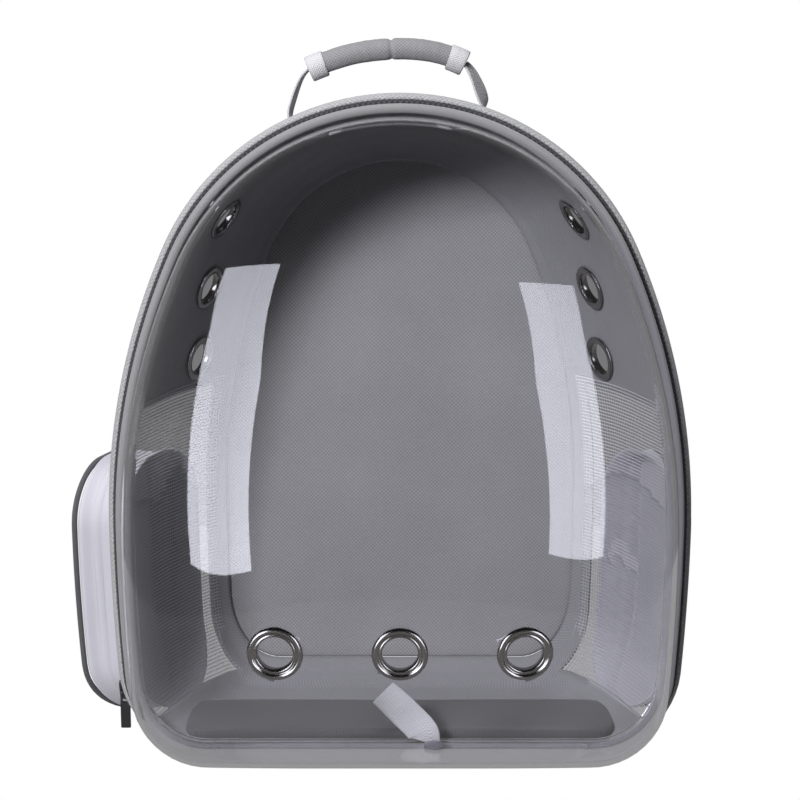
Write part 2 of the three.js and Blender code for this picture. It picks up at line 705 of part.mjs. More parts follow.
// Floor mat
const matPlan = roundedShape(-MAT_HALF_WIDTH, MAT_HALF_WIDTH, MAT_FRONT, MAT_BACK, MAT_CORNER)
  .getPoints(4)
  .slice(1)
  .map((p) => new THREE.Vector3(p.x, p.y, SHELL_WALL + GAP));
const meshInside = SHELL_WALL + MESH_CLEARANCE + MESH_THICKNESS + GAP;
const matRoom = shellSpace(meshInside).translate([0, 0, SHELL_WALL + GAP - meshInside]);
const mat = solid(pad(matPlan, MAT_THICKNESS, MAT_ROUNDING, new THREE.Vector3(0, 0, 1)));
piece("floor_mat", shapeOf(mat.intersect(matRoom)), MATERIALS.oxford);

// Tether tab: a short end of webbing that stands up behind a stud in the bubble's floor
const studTop = studSeat.point.z + BUBBLE_WALL + GAP;
const studProfile = [
  [0, studTop],
  [STUD_RADIUS, studTop],
  [STUD_RADIUS, studTop + 1.6],
  [STUD_RADIUS * 0.55, studTop + 3],
  [0, studTop + 3.2],
].map(([r, h]) => new THREE.Vector2(r, h));
piece("tether_stud", new THREE.LatheGeometry(studProfile, 14).rotateX(Math.PI / 2), MATERIALS.plastic, {
  position: new THREE.Vector3(STUD_SIDE, STUD_DEPTH, 0),
});
const tabFloor = studSeat.point.z + BUBBLE_WALL + GAP;
// Its route from the stud, in widths of its webbing
const tabStations = [
  { side: -0.35, depth: 0.41, rise: 0.03, across: [1, 0, 0] },
  { side: -0.35, depth: 0.45, rise: 0.3, across: [0.98, 0, 0.1] },
  { side: -0.95, depth: 0.9, rise: 0.85, across: [0.8, 0.25, 0.5] },
  { side: -1.65, depth: 1.3, rise: 1.4, across: [0.62, 0.6, 0.5] },
].map(({ side, depth, rise, across }) => ({
  point: new THREE.Vector3(STUD_SIDE, STUD_DEPTH, tabFloor).addScaledVector(
    new THREE.Vector3(side, depth, rise),
    TAB_WIDTH,
  ),
  across: new THREE.Vector3(...across),
}));
piece("tether_tab", ribbon(tabStations, TAB_WIDTH, WEBBING_THICKNESS, 8), MATERIALS.webbing);

// Top handle: a padded grip on one strap of webbing, whose two ends are sewn to the shell's crown
const gripRoute = [
  { side: -GRIP_LEFT, rise: 0.12 },
  { side: -0.75 * GRIP_LEFT, rise: 0.5 },
  { side: -0.45 * GRIP_LEFT, rise: 0.83 },
  { side: 0, rise: 1 },
  { side: 0.45 * GRIP_RIGHT, rise: 0.9 },
  { side: 0.75 * GRIP_RIGHT, rise: 0.68 },
  { side: GRIP_RIGHT, rise: 0.38 },
].map(({ side, rise }) => new THREE.Vector3(side, HANDLE_DEPTH, GRIP_HEIGHT - GRIP_ARCH * (1 - rise)));
const gripCurve = new THREE.CatmullRomCurve3(gripRoute);
piece(
  "handle_grip",
  tube(gripCurve.getPoints(14), GRIP_RADIUS, 8, false, new THREE.Vector3(0, 1, 0)),
  MATERIALS.oxford,
);

const alongDepth = new THREE.Vector3(0, 1, 0);
for (const [word, end, sign] of [["left", 0, -1], ["right", 1, 1]]) {
  const start = gripCurve.getPoint(end);
  const outward = gripCurve.getTangent(end).multiplyScalar(sign);
  const clear = GAP + WEBBING_THICKNESS / 2;
  const sewn = [0, 0.5, 1].map((share) => {
    const side = start.x + sign * (HANDLE_FLARE + share * HANDLE_FOOT);
    const seat = seatOn(
      shellMesh,
      new THREE.Vector3(side, HANDLE_DEPTH, 2 * BODY_HEIGHT),
      new THREE.Vector3(0, 0, -1),
    );
    const across = new THREE.Vector3().crossVectors(seat.normal, new THREE.Vector3(1, 0, 0));
    return { point: seat.point.addScaledVector(seat.normal, clear + (1 - share) * FOOT_BEND), across };
  });
  const stations = [
    { point: start.clone().addScaledVector(outward, 2 * GAP), across: alongDepth },
    { point: start.clone().addScaledVector(outward, 5).add(new THREE.Vector3(0, 0, -3)), across: alongDepth },
    { point: start.clone().lerp(sewn[0].point, 0.72).add(new THREE.Vector3(sign * 2, 0, 0)), across: alongDepth },
    ...sewn,
  ];
  piece(
    `handle_webbing_${word}`,
    ribbon(stations, HANDLE_WEBBING_WIDTH, WEBBING_THICKNESS, 15),
    MATERIALS.webbing,
  );
}

// Back padding, on the wearer's side of the back panel
const padRear = backRear + GAP;
const padPlan = roundedShape(
  -BACK_PAD_HALF_WIDTH,
  BACK_PAD_HALF_WIDTH,
  BACK_PAD_BOTTOM,
  BACK_PAD_TOP,
  BACK_PAD_CORNER,
)
  .getPoints(4)
  .slice(1)
  .map((p) => new THREE.Vector3(p.x, padRear, p.y));
piece("back_pad", pad(padPlan, BACK_PAD_THICKNESS, 4, new THREE.Vector3(0, 1, 0)), MATERIALS.oxford);

// Shoulder straps: a padded strap sewn over the pad's top, an adjuster, and webbing down to the base.
// The route is in shares of its spread, its drop, its bow, and the pad that it comes down over.
const STRAP_ROUTE = [
  { spread: 0, drop: 0, bow: 0, under: 1 },
  { spread: 0.03, drop: 0.08, bow: 0.14, under: 1 },
  { spread: 0.16, drop: 0.19, bow: 0.21, under: 0 },
  { spread: 0.39, drop: 0.43, bow: 0.93, under: 0 },
  { spread: 0.65, drop: 0.73, bow: 1, under: 0 },
  { spread: 0.87, drop: 0.86, bow: 0.43, under: 0 },
  { spread: 1, drop: 1, bow: 0.14, under: 0 },
];
const strapClear = padRear + BACK_PAD_THICKNESS + GAP + STRAP_THICKNESS / 2;
for (const [word, sign] of [["left", -1], ["right", 1]]) {
  const padded = STRAP_ROUTE.map(({ spread, drop, bow, under }) => ({
    point: new THREE.Vector3(
      sign * (STRAP_TOP_SIDE + spread * STRAP_SPREAD),
      strapClear + bow * STRAP_BOW - under * (BACK_PAD_THICKNESS + GAP),
      STRAP_TOP - drop * (STRAP_TOP - STRAP_BOTTOM),
    ),
    across: new THREE.Vector3(1, 0, sign * STRAP_LEAN),
  }));
  piece(`shoulder_strap_${word}`, ribbon(padded, STRAP_WIDTH, STRAP_THICKNESS, 18), MATERIALS.oxford);
  const foot = padded[padded.length - 1].point;
  const buckle = new THREE.BoxGeometry(BUCKLE_WIDTH, BUCKLE_THICKNESS, BUCKLE_LENGTH);
  const buckleCentre = foot
    .clone()
    .add(new THREE.Vector3(sign * BUCKLE_SHIFT, -BUCKLE_SHIFT, -BUCKLE_LENGTH / 2 - BUCKLE_DROP));
  piece(`strap_adjuster_${word}`, buckle, MATERIALS.plastic, { position: buckleCentre });
  const buckleSide = sign * buckleCentre.x;
  const sewnDepth = backRear + GAP + WEBBING_THICKNESS / 2;
  const low = [
    { side: buckleSide, height: buckleCentre.z - BUCKLE_LENGTH / 2 - 2 * GAP, depth: buckleCentre.y },
    {
      side: buckleSide,
      height: BACK_PAD_BOTTOM + BACK_PAD_THICKNESS,
      depth: padRear + BACK_PAD_THICKNESS + 2 * WEBBING_THICKNESS,
    },
    {
      side: 0.98 * STRAP_FOOT_SIDE,
      height: BACK_PAD_BOTTOM - STRAP_FOOT_LENGTH,
      depth: backRear + BACK_PAD_THICKNESS / 2,
    },
    { side: STRAP_FOOT_SIDE, height: BACK_PAD_BOTTOM - 2 * STRAP_FOOT_LENGTH, depth: sewnDepth + GAP },
    { side: STRAP_FOOT_SIDE, height: BACK_PAD_BOTTOM - 3 * STRAP_FOOT_LENGTH, depth: sewnDepth },
  ].map(({ side, height, depth }) => ({
    point: new THREE.Vector3(sign * side, depth, height),
    across: new THREE.Vector3(1, 0, 0),
  }));
  piece(`strap_webbing_${word}`, ribbon(low, STRAP_WEBBING_WIDTH, WEBBING_THICKNESS, 10), MATERIALS.webbing);
}

export default part;
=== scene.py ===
import math

import bmesh
import bpy
import numpy as np
from mathutils import Matrix, Vector, noise


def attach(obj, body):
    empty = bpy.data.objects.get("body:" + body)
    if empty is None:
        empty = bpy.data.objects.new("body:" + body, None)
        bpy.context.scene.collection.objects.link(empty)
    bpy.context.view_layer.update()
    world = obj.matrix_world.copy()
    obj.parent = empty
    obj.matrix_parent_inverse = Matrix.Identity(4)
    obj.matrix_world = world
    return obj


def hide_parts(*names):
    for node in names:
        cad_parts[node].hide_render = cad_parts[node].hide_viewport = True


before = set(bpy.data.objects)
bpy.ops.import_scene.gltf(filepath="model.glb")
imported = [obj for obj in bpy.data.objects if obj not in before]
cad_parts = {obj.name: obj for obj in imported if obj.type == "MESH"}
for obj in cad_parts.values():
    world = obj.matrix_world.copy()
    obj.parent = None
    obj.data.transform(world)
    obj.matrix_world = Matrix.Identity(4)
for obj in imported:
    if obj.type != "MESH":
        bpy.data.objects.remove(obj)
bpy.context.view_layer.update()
scene = bpy.context.scene

# Camera, floor and studio light
# The bag is seen from straight in front and a little above, through a long lens. Two tall softboxes
# stand either side of the lens, one lamp on the left and one overhead light the cloth, and the white
# room fills in the rest.
RIM_PLANE = -0.065
LOOK_AT = Vector((0, RIM_PLANE, 0.210))
CAMERA_REACH = 1.263
CAMERA_RISE = math.radians(12)
LENS_LENGTH, SENSOR_WIDTH, LENS_SHIFT = 91.34, 36, 0.0436
FLOOR_RADIUS, FLOOR_GLOW = 0.55, 0.34

lens = bpy.data.cameras.new("camera")
lens.lens = LENS_LENGTH
lens.sensor_width = SENSOR_WIDTH
lens.shift_y = LENS_SHIFT
camera = bpy.data.objects.new("camera", lens)
towards = Vector((0, -math.cos(CAMERA_RISE), math.sin(CAMERA_RISE)))
camera.location = LOOK_AT + towards * CAMERA_REACH
camera.rotation_euler = (-towards).to_track_quat("-Z", "Y").to_euler()
scene.collection.objects.link(camera)
scene.camera = camera
scene.view_settings.view_transform = "Standard"


def linear(colour, alpha=1.0):
    """An sRGB hex colour as linear red, green, blue and alpha."""
    parts = [int(colour[i : i + 2], 16) / 255 for i in (1, 3, 5)]
    return (*[c / 12.92 if c <= 0.04045 else ((c + 0.055) / 1.055) ** 2.4 for c in parts], alpha)


def add(tree, kind, inputs=None, **settings):
    """Adds a node with its settings. Each input is a value, or the output that feeds it."""
    node = tree.nodes.new(kind)
    for name, value in settings.items():
        setattr(node, name, value)
    for key, value in (inputs or {}).items():
        if isinstance(value, bpy.types.NodeSocket):
            tree.links.new(value, node.inputs[key])
        else:
            node.inputs[key].default_value = value
    return node


def new_material(name, **inputs):
    """A material, its node tree and its shader, with constants set on the shader's own sockets."""
    material = bpy.data.materials.new(name)
    material.use_nodes = True
    shader = material.node_tree.nodes["Principled BSDF"]
    for key, value in inputs.items():
        shader.inputs[key.replace("_", " ")].default_value = value
    return material, material.node_tree, shader


def seen_white(tree, own_light):
    """1 for a ray that looks straight at the room, and the room's own light for all others."""
    ray = add(tree, "ShaderNodeLightPath")
    seen = add(tree, "ShaderNodeMapRange", {"Value": ray.outputs["Is Camera Ray"], "To Min": own_light})
    return seen.outputs["Result"]


# The room is dark overhead and lighter near the floor. The heights are those of a ray's direction.
LOW_GLOW, HIGH_GLOW, HIGH_FROM = 0.2, 0.03, 0.55
world = bpy.data.worlds.new("white room")
scene.world = world
world.use_nodes = True
tree = world.node_tree
direction = add(tree, "ShaderNodeTexCoord")
height = add(tree, "ShaderNodeSeparateXYZ", {"Vector": direction.outputs["Generated"]}).outputs["Z"]
dimmed = add(
    tree,
    "ShaderNodeMapRange",
    {"Value": height, "From Min": 0.0, "From Max": HIGH_FROM, "To Min": LOW_GLOW, "To Max": HIGH_GLOW},
)
back = tree.nodes["Background"]
back.inputs["Color"].default_value = (1, 1, 1, 1)
tree.links.new(seen_white(tree, dimmed.outputs["Result"]), back.inputs["Strength"])

floor_paint, tree, shader = new_material(
    "lit white floor", Base_Color=(0, 0, 0, 1), Specular_IOR_Level=0.0, Emission_Color=(1, 1, 1, 1)
)
tree.links.new(seen_white(tree, FLOOR_GLOW), shader.inputs["Emission Strength"])
bm = bmesh.new()
bmesh.ops.create_circle(bm, cap_ends=True, segments=64, radius=FLOOR_RADIUS)
floor_mesh = bpy.data.meshes.new("floor")
bm.to_mesh(floor_mesh)
bm.free()
floor_mesh.materials.append(floor_paint)
floor = bpy.data.objects.new("floor", floor_mesh)
scene.collection.objects.link(floor)

# The softboxes lean apart at the top and reach below the level that the bag stands at, as the bubble shows.
# They glow only for rays that no matt surface has scattered, so they add nothing to the matt shading and
# count in reflections alone, and they are a little brighter towards their feet. Each is given by its
# corners, as x and z in its plane.
STRIP_PLANE = -1.35
STRIP_FOOT, STRIP_HEAD, HEAD_SHARE = -0.3, 1.2, 0.7
STRIPS = [
    {
        "name": "left strip",
        "corners": (
            (-0.78, 0.95),
            (-0.59, 0.13),
            (-0.50, -0.21),
            (-1.38, -0.33),
            (-1.67, 0.22),
            (-3.2, 2.0),
        ),
        "glow": 8.0,
    },
    {
        "name": "right strip",
        "corners": (
            (0.66, 0.75),
            (0.59, 0.13),
            (0.50, -0.18),
            (1.21, -0.28),
            (1.45, 0.20),
            (2.07, 1.23),
        ),
        "glow": 6.2,
    },
]
for row in STRIPS:
    paint, tree, shader = new_material(
        row["name"], Base_Color=(0, 0, 0, 1), Specular_IOR_Level=0.0, Emission_Color=linear("#e9ebf6")
    )
    paint.cycles.emission_sampling = "NONE"
    ray = add(tree, "ShaderNodeLightPath")
    # The glow is cut off for any ray that a matt surface has scattered, so the strips show only in
    # reflections.
    mirrored = add(tree, "ShaderNodeMath", {0: ray.outputs["Diffuse Depth"], 1: 0.5}, operation="LESS_THAN")
    spot = add(tree, "ShaderNodeTexCoord")
    rise = add(tree, "ShaderNodeSeparateXYZ", {"Vector": spot.outputs["Object"]}).outputs["Z"]
    glow = add(
        tree,
        "ShaderNodeMapRange",
        {
            "Value": rise,
            "From Min": STRIP_FOOT,
            "From Max": STRIP_HEAD,
            "To Min": row["glow"],
            "To Max": row["glow"] * HEAD_SHARE,
        },
    )
    seen = add(
        tree, "ShaderNodeMath", {0: mirrored.outputs[0], 1: glow.outputs["Result"]}, operation="MULTIPLY"
    )
    tree.links.new(seen.outputs[0], shader.inputs["Emission Strength"])
    bm = bmesh.new()
    bm.faces.new([bm.verts.new((x, STRIP_PLANE, z)) for x, z in row["corners"]])
    bmesh.ops.triangulate(bm, faces=bm.faces)
    strip_mesh = bpy.data.meshes.new(row["name"])
    bm.to_mesh(strip_mesh)
    bm.free()
    strip_mesh.materials.append(paint)
    strip = bpy.data.objects.new(row["name"], strip_mesh)
    strip.visible_shadow = False
    scene.collection.objects.link(strip)

# Two lamps light the cloth, from where the bubble doesn't mirror them.
LAMPS = [
    {"name": "front lamp", "at": (-0.85, -1.75, 1.15), "size": 0.45, "watts": 60},
    {"name": "high lamp", "at": (-0.10, -0.35, 1.90), "size": 0.6, "watts": 18},
]
for row in LAMPS:
    light = bpy.data.lights.new(row["name"], "AREA")
    light.size, light.energy = row["size"], row["watts"]
    lamp = bpy.data.objects.new(row["name"], light)
    lamp.visible_glossy, lamp.visible_transmission = False, False
    turn = (LOOK_AT - Vector(row["at"])).to_track_quat("-Z", "Y").to_matrix().to_4x4()
    lamp.matrix_world = Matrix.Translation(row["at"]) @ turn
    scene.collection.objects.link(lamp)

# Clear bubble
# A dome of clear PVC sheet, vacuum formed, with a narrow flange that the binding clamps. It is 2 mm
# thick, faintly lilac, and has three holes for eyelets low down in front.
BUBBLE_DEPTH = 0.115
BUBBLE_WALL = 0.002
BUBBLE_POWER = 3.4
BUBBLE_CENTRE = 0.190
BUBBLE_INSET = 0.0125
SOFT_CORNER = 0.120
FLANGE_INSET = 0.007
FLANGE_DEPTH = -0.0034
BUBBLE_ROWS, CROWDING = 56, 1.35

# The flange follows the rim, a wire-stiffened arch: a crown arc, long side arcs, short lower arcs, two
# corners and a flat base. Every ring of the bag is this outline, pulled in by insets.
RIM = {
    "half_width": 0.1835,
    "height": 0.420,
    "widest": 0.150,
    "crown": 0.160,
    "corner": 0.058,
    "lower": 1.300,
    "bottom_share": 0.64,
}
LEAST_CORNER = 0.014
ROUND = 200
ARC_STEPS = 60


def outline(side, top=None, bottom=None, corner=None, count=ROUND):
    """Even steps along the rim, pulled in by insets, from the crown right round to it: x and z."""
    top = side if top is None else top
    bottom = side * RIM["bottom_share"] if bottom is None else bottom
    corner = max(RIM["corner"] - side if corner is None else corner, LEAST_CORNER)
    half, crown = RIM["half_width"] - side, RIM["crown"] - side
    crown_z = RIM["height"] - side - crown
    rise = crown_z - RIM["widest"]
    flank = (half**2 + rise**2 - crown**2) / (2 * (half - crown))
    crown_end = math.atan2(rise, flank - half)
    reach = math.sqrt((RIM["lower"] - corner) ** 2 - (RIM["widest"] - side - corner) ** 2)
    lower_x = half - RIM["lower"]
    lower_end = math.atan2(side + corner - RIM["widest"], reach)
    arcs = [
        (0, crown_z, crown, math.pi / 2, crown_end),
        (half - flank, RIM["widest"], flank, crown_end, 0),
        (lower_x, RIM["widest"], RIM["lower"], 0, lower_end),
        (lower_x + reach, side + corner, corner, lower_end, -math.pi / 2),
    ]
    right = []
    for x, z, radius, start, end in arcs:
        turn = np.linspace(start, end, ARC_STEPS)
        right.append(np.stack([x + radius * np.cos(turn), z + radius * np.sin(turn)], axis=1))
    right = np.concatenate([*right, [[0, side]]])
    whole = np.concatenate([right, right[::-1] * (-1, 1)])
    along = np.concatenate([[0], np.cumsum(np.hypot(*np.diff(whole, axis=0).T))])
    even = np.linspace(0, along[-1], count + 1)
    x, z = (np.interp(even, along, whole[:, axis]) for axis in (0, 1))
    above = z - RIM["widest"]
    low = (RIM["widest"] - bottom) / (RIM["widest"] - side)
    high = (RIM["height"] - top - RIM["widest"]) / (RIM["height"] - side - RIM["widest"])
    return x, RIM["widest"] + above * np.where(above < 0, low, high)


def ring(depth, side, **insets):
    """The outline at a depth behind the rim's plane, as points."""
    x, z = outline(side, **insets)
    return np.stack([x, np.full_like(x, RIM_PLANE + depth), z], axis=1)


def skin(rings):
    """A surface through rings of equally many points, with UVs in metres along the cloth."""
    rings = np.asarray(rings)
    rows, columns = rings.shape[0] - 1, rings.shape[1] - 1
    around = np.linalg.norm(np.diff(rings, axis=1), axis=2).sum(axis=1).mean()
    across = np.linalg.norm(np.diff(rings, axis=0), axis=2).sum(axis=0).mean()
    bm = bmesh.new()
    cloth = bm.loops.layers.uv.new("cloth")
    bmesh.ops.create_grid(bm, x_segments=columns, y_segments=rows, size=0.5, calc_uvs=True)
    for face in bm.faces:
        for loop in face.loops:
            loop[cloth].uv = (loop[cloth].uv.x * around, loop[cloth].uv.y * across)
    for vert in bm.verts:
        row, column = round((vert.co.y + 0.5) * rows), round((vert.co.x + 0.5) * columns)
        vert.co = rings[row, column]
    bmesh.ops.remove_doubles(bm, verts=bm.verts, dist=1e-6)
    bmesh.ops.recalc_face_normals(bm, faces=bm.faces)
    return bm


def keep(bm, name, material, stands_for=(), body="bag"):
    """Makes the piece's object, which rides on a body and stands for CAD nodes."""
    mesh = bpy.data.meshes.new(name)
    bm.to_mesh(mesh)
    bm.free()
    mesh.materials.append(material)
    mesh.shade_smooth()
    piece = bpy.data.objects.new(name, mesh)
    scene.collection.objects.link(piece)
    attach(piece, body)
    if stands_for:
        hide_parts(*stands_for)
    return piece


# Plasticised PVC, clear and glossy, with a trace of lilac where it is seen edgeways.
clear_pvc, tree, shader = new_material(
    "vacuum formed PVC",
    Base_Color=linear("#f9f8fb"),
    Roughness=0.015,
    IOR=1.5,
    Transmission_Weight=1.0,
)
# Lamps shine through the sheet as through a window, so that the inside is lit.
ray = add(tree, "ShaderNodeLightPath")
through = add(tree, "ShaderNodeBsdfTransparent", {"Color": linear("#f4f4f7")})
mix = add(
    tree,
    "ShaderNodeMixShader",
    {0: ray.outputs["Is Shadow Ray"], 1: shader.outputs[0], 2: through.outputs[0]},
)
tree.links.new(mix.outputs[0], tree.nodes["Material Output"].inputs["Surface"])


def bubble_ring(turn):
    """A ring of the dome: at the flange when the turn is 0, and at its nose a quarter turn on."""
    spread, advance = math.cos(turn) ** (2 / BUBBLE_POWER), math.sin(turn) ** (2 / BUBBLE_POWER)
    firm = ring(0, BUBBLE_INSET)
    soft = ring(0, BUBBLE_INSET, corner=SOFT_CORNER)
    points = firm + (soft - firm) * (1 - spread)
    centre = np.array((0, 0, BUBBLE_CENTRE))
    points = centre + (points - centre) * (spread, 1, spread)
    points[:, 1] = RIM_PLANE + FLANGE_DEPTH - (BUBBLE_DEPTH + FLANGE_DEPTH) * advance
    return points


turns = [math.pi / 2 * (step / BUBBLE_ROWS) ** CROWDING for step in range(BUBBLE_ROWS)]
bubble_rings = [ring(FLANGE_DEPTH, FLANGE_INSET), ring(FLANGE_DEPTH, (FLANGE_INSET + BUBBLE_INSET) / 2)]
bubble_rings += [bubble_ring(turn) for turn in turns]
bm = skin(bubble_rings)
front = min(vert.co.y for vert in bm.verts)
last = [vert for vert in bm.verts if vert.co.y < front + 1e-6]
nose = {edge for vert in last for edge in vert.link_edges if edge.is_boundary}
bmesh.ops.contextual_create(bm, geom=list(nose))
bmesh.ops.poke(bm, faces=[face for face in bm.faces if len(face.verts) > 4])
bmesh.ops.recalc_face_normals(bm, faces=bm.faces)
bubble = keep(bm, "clear_bubble", clear_pvc, ["bubble_dome"])
wall = bubble.modifiers.new("wall", "SOLIDIFY")
wall.thickness, wall.offset, wall.use_even_offset = BUBBLE_WALL, -1, True

# Eyelets
# Two-part vent eyelets of brass, stamped, pressed together through the sheet and plated in dark
# nickel. Each has a rounded flange outside, a barrel, and a rolled washer inside.
EYELET_FLANGE_TOP = 0.0023
EYELET_STEPS = 56
HOLE = {"radius": 0.0127, "depth": 0.024, "steps": 40}
SHEET_BACKS = {"front": -0.0034, "side": -0.0042}
BAG_MIDDLE = Vector((0, -0.05, 0.2))
# Both profiles are in millimetres: the flange from the sheet's face, and the washer from its back.
EYELET_PROFILE = [
    {"radius": 10.5, "height": -1.2},
    {"radius": 10.55, "height": 0.7},
    {"radius": 10.9, "height": 1.25},
    {"radius": 11.5, "height": 1.45},
    {"radius": 12.1, "height": 1.2},
    {"radius": 12.5, "height": 0.95},
    {"radius": 12.9, "height": 1.3},
    {"radius": 13.6, "height": 2.0},
    {"radius": 14.5, "height": 2.3},
    {"radius": 15.4, "height": 2.05},
    {"radius": 16.1, "height": 1.4},
    {"radius": 16.5, "height": 0.6},
    {"radius": 16.45, "height": 0.3},
    {"radius": 12.3, "height": 0.3},
]
WASHER_PROFILE = [
    {"radius": 12.3, "drop": 0.0},
    {"radius": 15.0, "drop": 0.0},
    {"radius": 15.2, "drop": 0.5},
    {"radius": 14.4, "drop": 1.0},
    {"radius": 12.6, "drop": 1.1},
    {"radius": 10.9, "drop": 0.9},
    {"radius": 10.5, "drop": 0.3},
]

# Smoky nickel plate, bright as a mirror, with fine scuffs about 1 mm apart that spread its highlights.
dark_nickel, tree, shader = new_material(
    "dark nickel plate", Base_Color=linear("#8b8887"), Metallic=1.0, Roughness=0.16
)
spot = add(tree, "ShaderNodeTexCoord")
scuffs = add(
    tree, "ShaderNodeTexNoise", {"Vector": spot.outputs["Object"], "Scale": 900.0, "Detail": 3.0}
)
rough = add(tree, "ShaderNodeMapRange", {"Value": scuffs.outputs["Fac"], "To Min": 0.10, "To Max": 0.26})
tree.links.new(rough.outputs["Result"], shader.inputs["Roughness"])


def seat_of(name):
    """Where an eyelet sits in its sheet, and the direction that it faces."""
    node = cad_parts[name]
    points = np.array([node.matrix_world @ vert.co for vert in node.data.vertices])
    centre = points.mean(axis=0)
    facing = Vector(np.linalg.svd(points - centre)[2][2])
    if facing.dot(Vector(centre) - BAG_MIDDLE) < 0:
        facing.negate()
    crest = max((Vector(point) - Vector(centre)).dot(facing) for point in points)
    return Vector(centre) + facing * (crest - EYELET_FLANGE_TOP), facing


def seated(seat, facing):
    """The matrix that takes an upright shape to a seat and turns it to face outwards."""
    return Matrix.Translation(seat) @ facing.to_track_quat("Z", "Y").to_matrix().to_4x4()


EYELETS = [f"front_eyelet_{word}" for word in ("left", "middle", "right")]
EYELETS += [f"side_eyelet_{word}_{number}" for word in ("left", "right") for number in (1, 2, 3)]
for name in EYELETS:
    back = SHEET_BACKS[name.split("_")[0]]
    profile = [(row["radius"] / 1000, row["height"] / 1000) for row in EYELET_PROFILE]
    profile += [(row["radius"] / 1000, back - row["drop"] / 1000) for row in WASHER_PROFILE]
    bm = bmesh.new()
    verts = [bm.verts.new((radius, 0, height)) for radius, height in profile]
    edges = [bm.edges.new((a, b)) for a, b in zip(verts, verts[1:] + verts[:1])]
    bmesh.ops.spin(
        bm, geom=verts + edges, axis=(0, 0, 1), angle=math.tau, steps=EYELET_STEPS, use_merge=True
    )
    bmesh.ops.remove_doubles(bm, verts=bm.verts, dist=1e-6)
    bmesh.ops.recalc_face_normals(bm, faces=bm.faces)
    bmesh.ops.transform(bm, matrix=seated(*seat_of(name)), verts=bm.verts)
    keep(bm, name.replace("eyelet", "vent_ring"), dark_nickel, [name])


def settle(piece):
    """Makes the piece's modifiers part of its mesh."""
    seen = piece.evaluated_get(bpy.context.evaluated_depsgraph_get())
    mesh = bpy.data.meshes.new_from_object(seen)
    piece.modifiers.clear()
    piece.data = mesh


def cut(piece, bm):
    """Cuts the closed shapes in bm out of a piece."""
    mesh = bpy.data.meshes.new("cutter")
    bm.to_mesh(mesh)
    bm.free()
    cutter = bpy.data.objects.new("cutter", mesh)
    scene.collection.objects.link(cutter)
    hole = piece.modifiers.new("hole", "BOOLEAN")
    hole.operation, hole.solver, hole.object = "DIFFERENCE", "EXACT", cutter
    settle(piece)
    bpy.data.objects.remove(cutter)


def punch(piece, names):
    """Cuts the eyelets' holes through a sheet, one by one."""
    for name in names:
        bm = bmesh.new()
        bmesh.ops.create_cone(
            bm,
            cap_ends=True,
            segments=HOLE["steps"],
            radius1=HOLE["radius"],
            radius2=HOLE["radius"],
            depth=HOLE["depth"],
        )
        bmesh.ops.transform(bm, matrix=seated(*seat_of(name)), verts=bm.verts)
        cut(piece, bm)


punch(bubble, EYELETS[:3])

# Rim bands
# The bubble's flange is sewn into a smooth grey binding, then comes the closed zip, and then a welt of
# oxford cloth round a cord, which stiffens the shell's mouth. All three run right round the rim.
BAND_SIDES = 20
STITCH = {"pitch": 0.0036, "share": 0.74, "radius": 0.00034, "sides": 6}
STITCH_SIDE, STITCH_DEPTH = 0.0026, 0.0018


def weave(tree, where, pitch):
    """How high the yarns of a plain weave stand, from 0 to 1, at a pitch in metres."""
    at = add(tree, "ShaderNodeSeparateXYZ", {"Vector": where})
    waves = []
    for axis in (0, 1):
        turn = add(
            tree, "ShaderNodeMath", {0: at.outputs[axis], 1: math.pi / pitch}, operation="MULTIPLY"
        )
        waves.append(add(tree, "ShaderNodeMath", {0: turn.outputs[0]}, operation="SINE").outputs[0])
    over = add(tree, "ShaderNodeMath", {0: waves[0], 1: waves[1]}, operation="MULTIPLY")
    lift = add(tree, "ShaderNodeMath", {0: over.outputs[0], 1: 0.5, 2: 0.5}, operation="MULTIPLY_ADD")
    return lift.outputs[0]


def cloth(name, colour, shade, pitch, mottle=0.25, bump=0.4, sheen=0.15, roughness=0.85):
    """A woven cloth: yarns in two tones, a mottle along them, and a bump for the weave."""
    material, tree, shader = new_material(
        name, Roughness=roughness, Sheen_Weight=sheen, Specular_IOR_Level=0.25
    )
    where = add(tree, "ShaderNodeTexCoord")
    lift = weave(tree, where.outputs["UV"], pitch)
    fleck = add(
        tree,
        "ShaderNodeTexNoise",
        {"Vector": where.outputs["UV"], "Scale": 0.45 / pitch, "Detail": 4.0, "Roughness": 0.7},
    )
    worn = add(
        tree, "ShaderNodeTexNoise", {"Vector": where.outputs["Object"], "Scale": 14.0, "Detail": 3.0}
    )
    tone = add(tree, "ShaderNodeMath", {0: lift, 1: 0.55}, operation="MULTIPLY")
    for spots, share in ((fleck, mottle * 2), (worn, 0.35)):
        tone = add(
            tree,
            "ShaderNodeMath",
            {0: spots.outputs["Fac"], 1: share, 2: tone.outputs[0]},
            operation="MULTIPLY_ADD",
        )
    tone = add(tree, "ShaderNodeMapRange", {"Value": tone.outputs[0], "From Min": 0.25, "From Max": 0.95})
    hue = add(
        tree,
        "ShaderNodeMix",
        {0: tone.outputs["Result"], 6: linear(shade), 7: linear(colour)},
        data_type="RGBA",
    )
    raised = add(tree, "ShaderNodeBump", {"Height": lift, "Strength": bump, "Distance": pitch * 0.4})
    tree.links.new(hue.outputs[2], shader.inputs["Base Color"])
    tree.links.new(raised.outputs[0], shader.inputs["Normal"])
    return material


# Polyester oxford, PU coated, plain woven: matt grey, with a grain that just shows. The real yarns
# are 0.5 mm apart, and are drawn at 1.3 mm so that they show.
oxford = cloth("polyester oxford", "#a2a2a5", "#737376", 0.0013)
# Nylon binding tape, closely woven and calendered, so it has a satin shine and hardly any grain.
binding_tape = cloth(
    "nylon binding tape", "#8d8c8e", "#6e6d70", 0.0008, mottle=0.1, bump=0.15, sheen=0.4, roughness=0.5
)
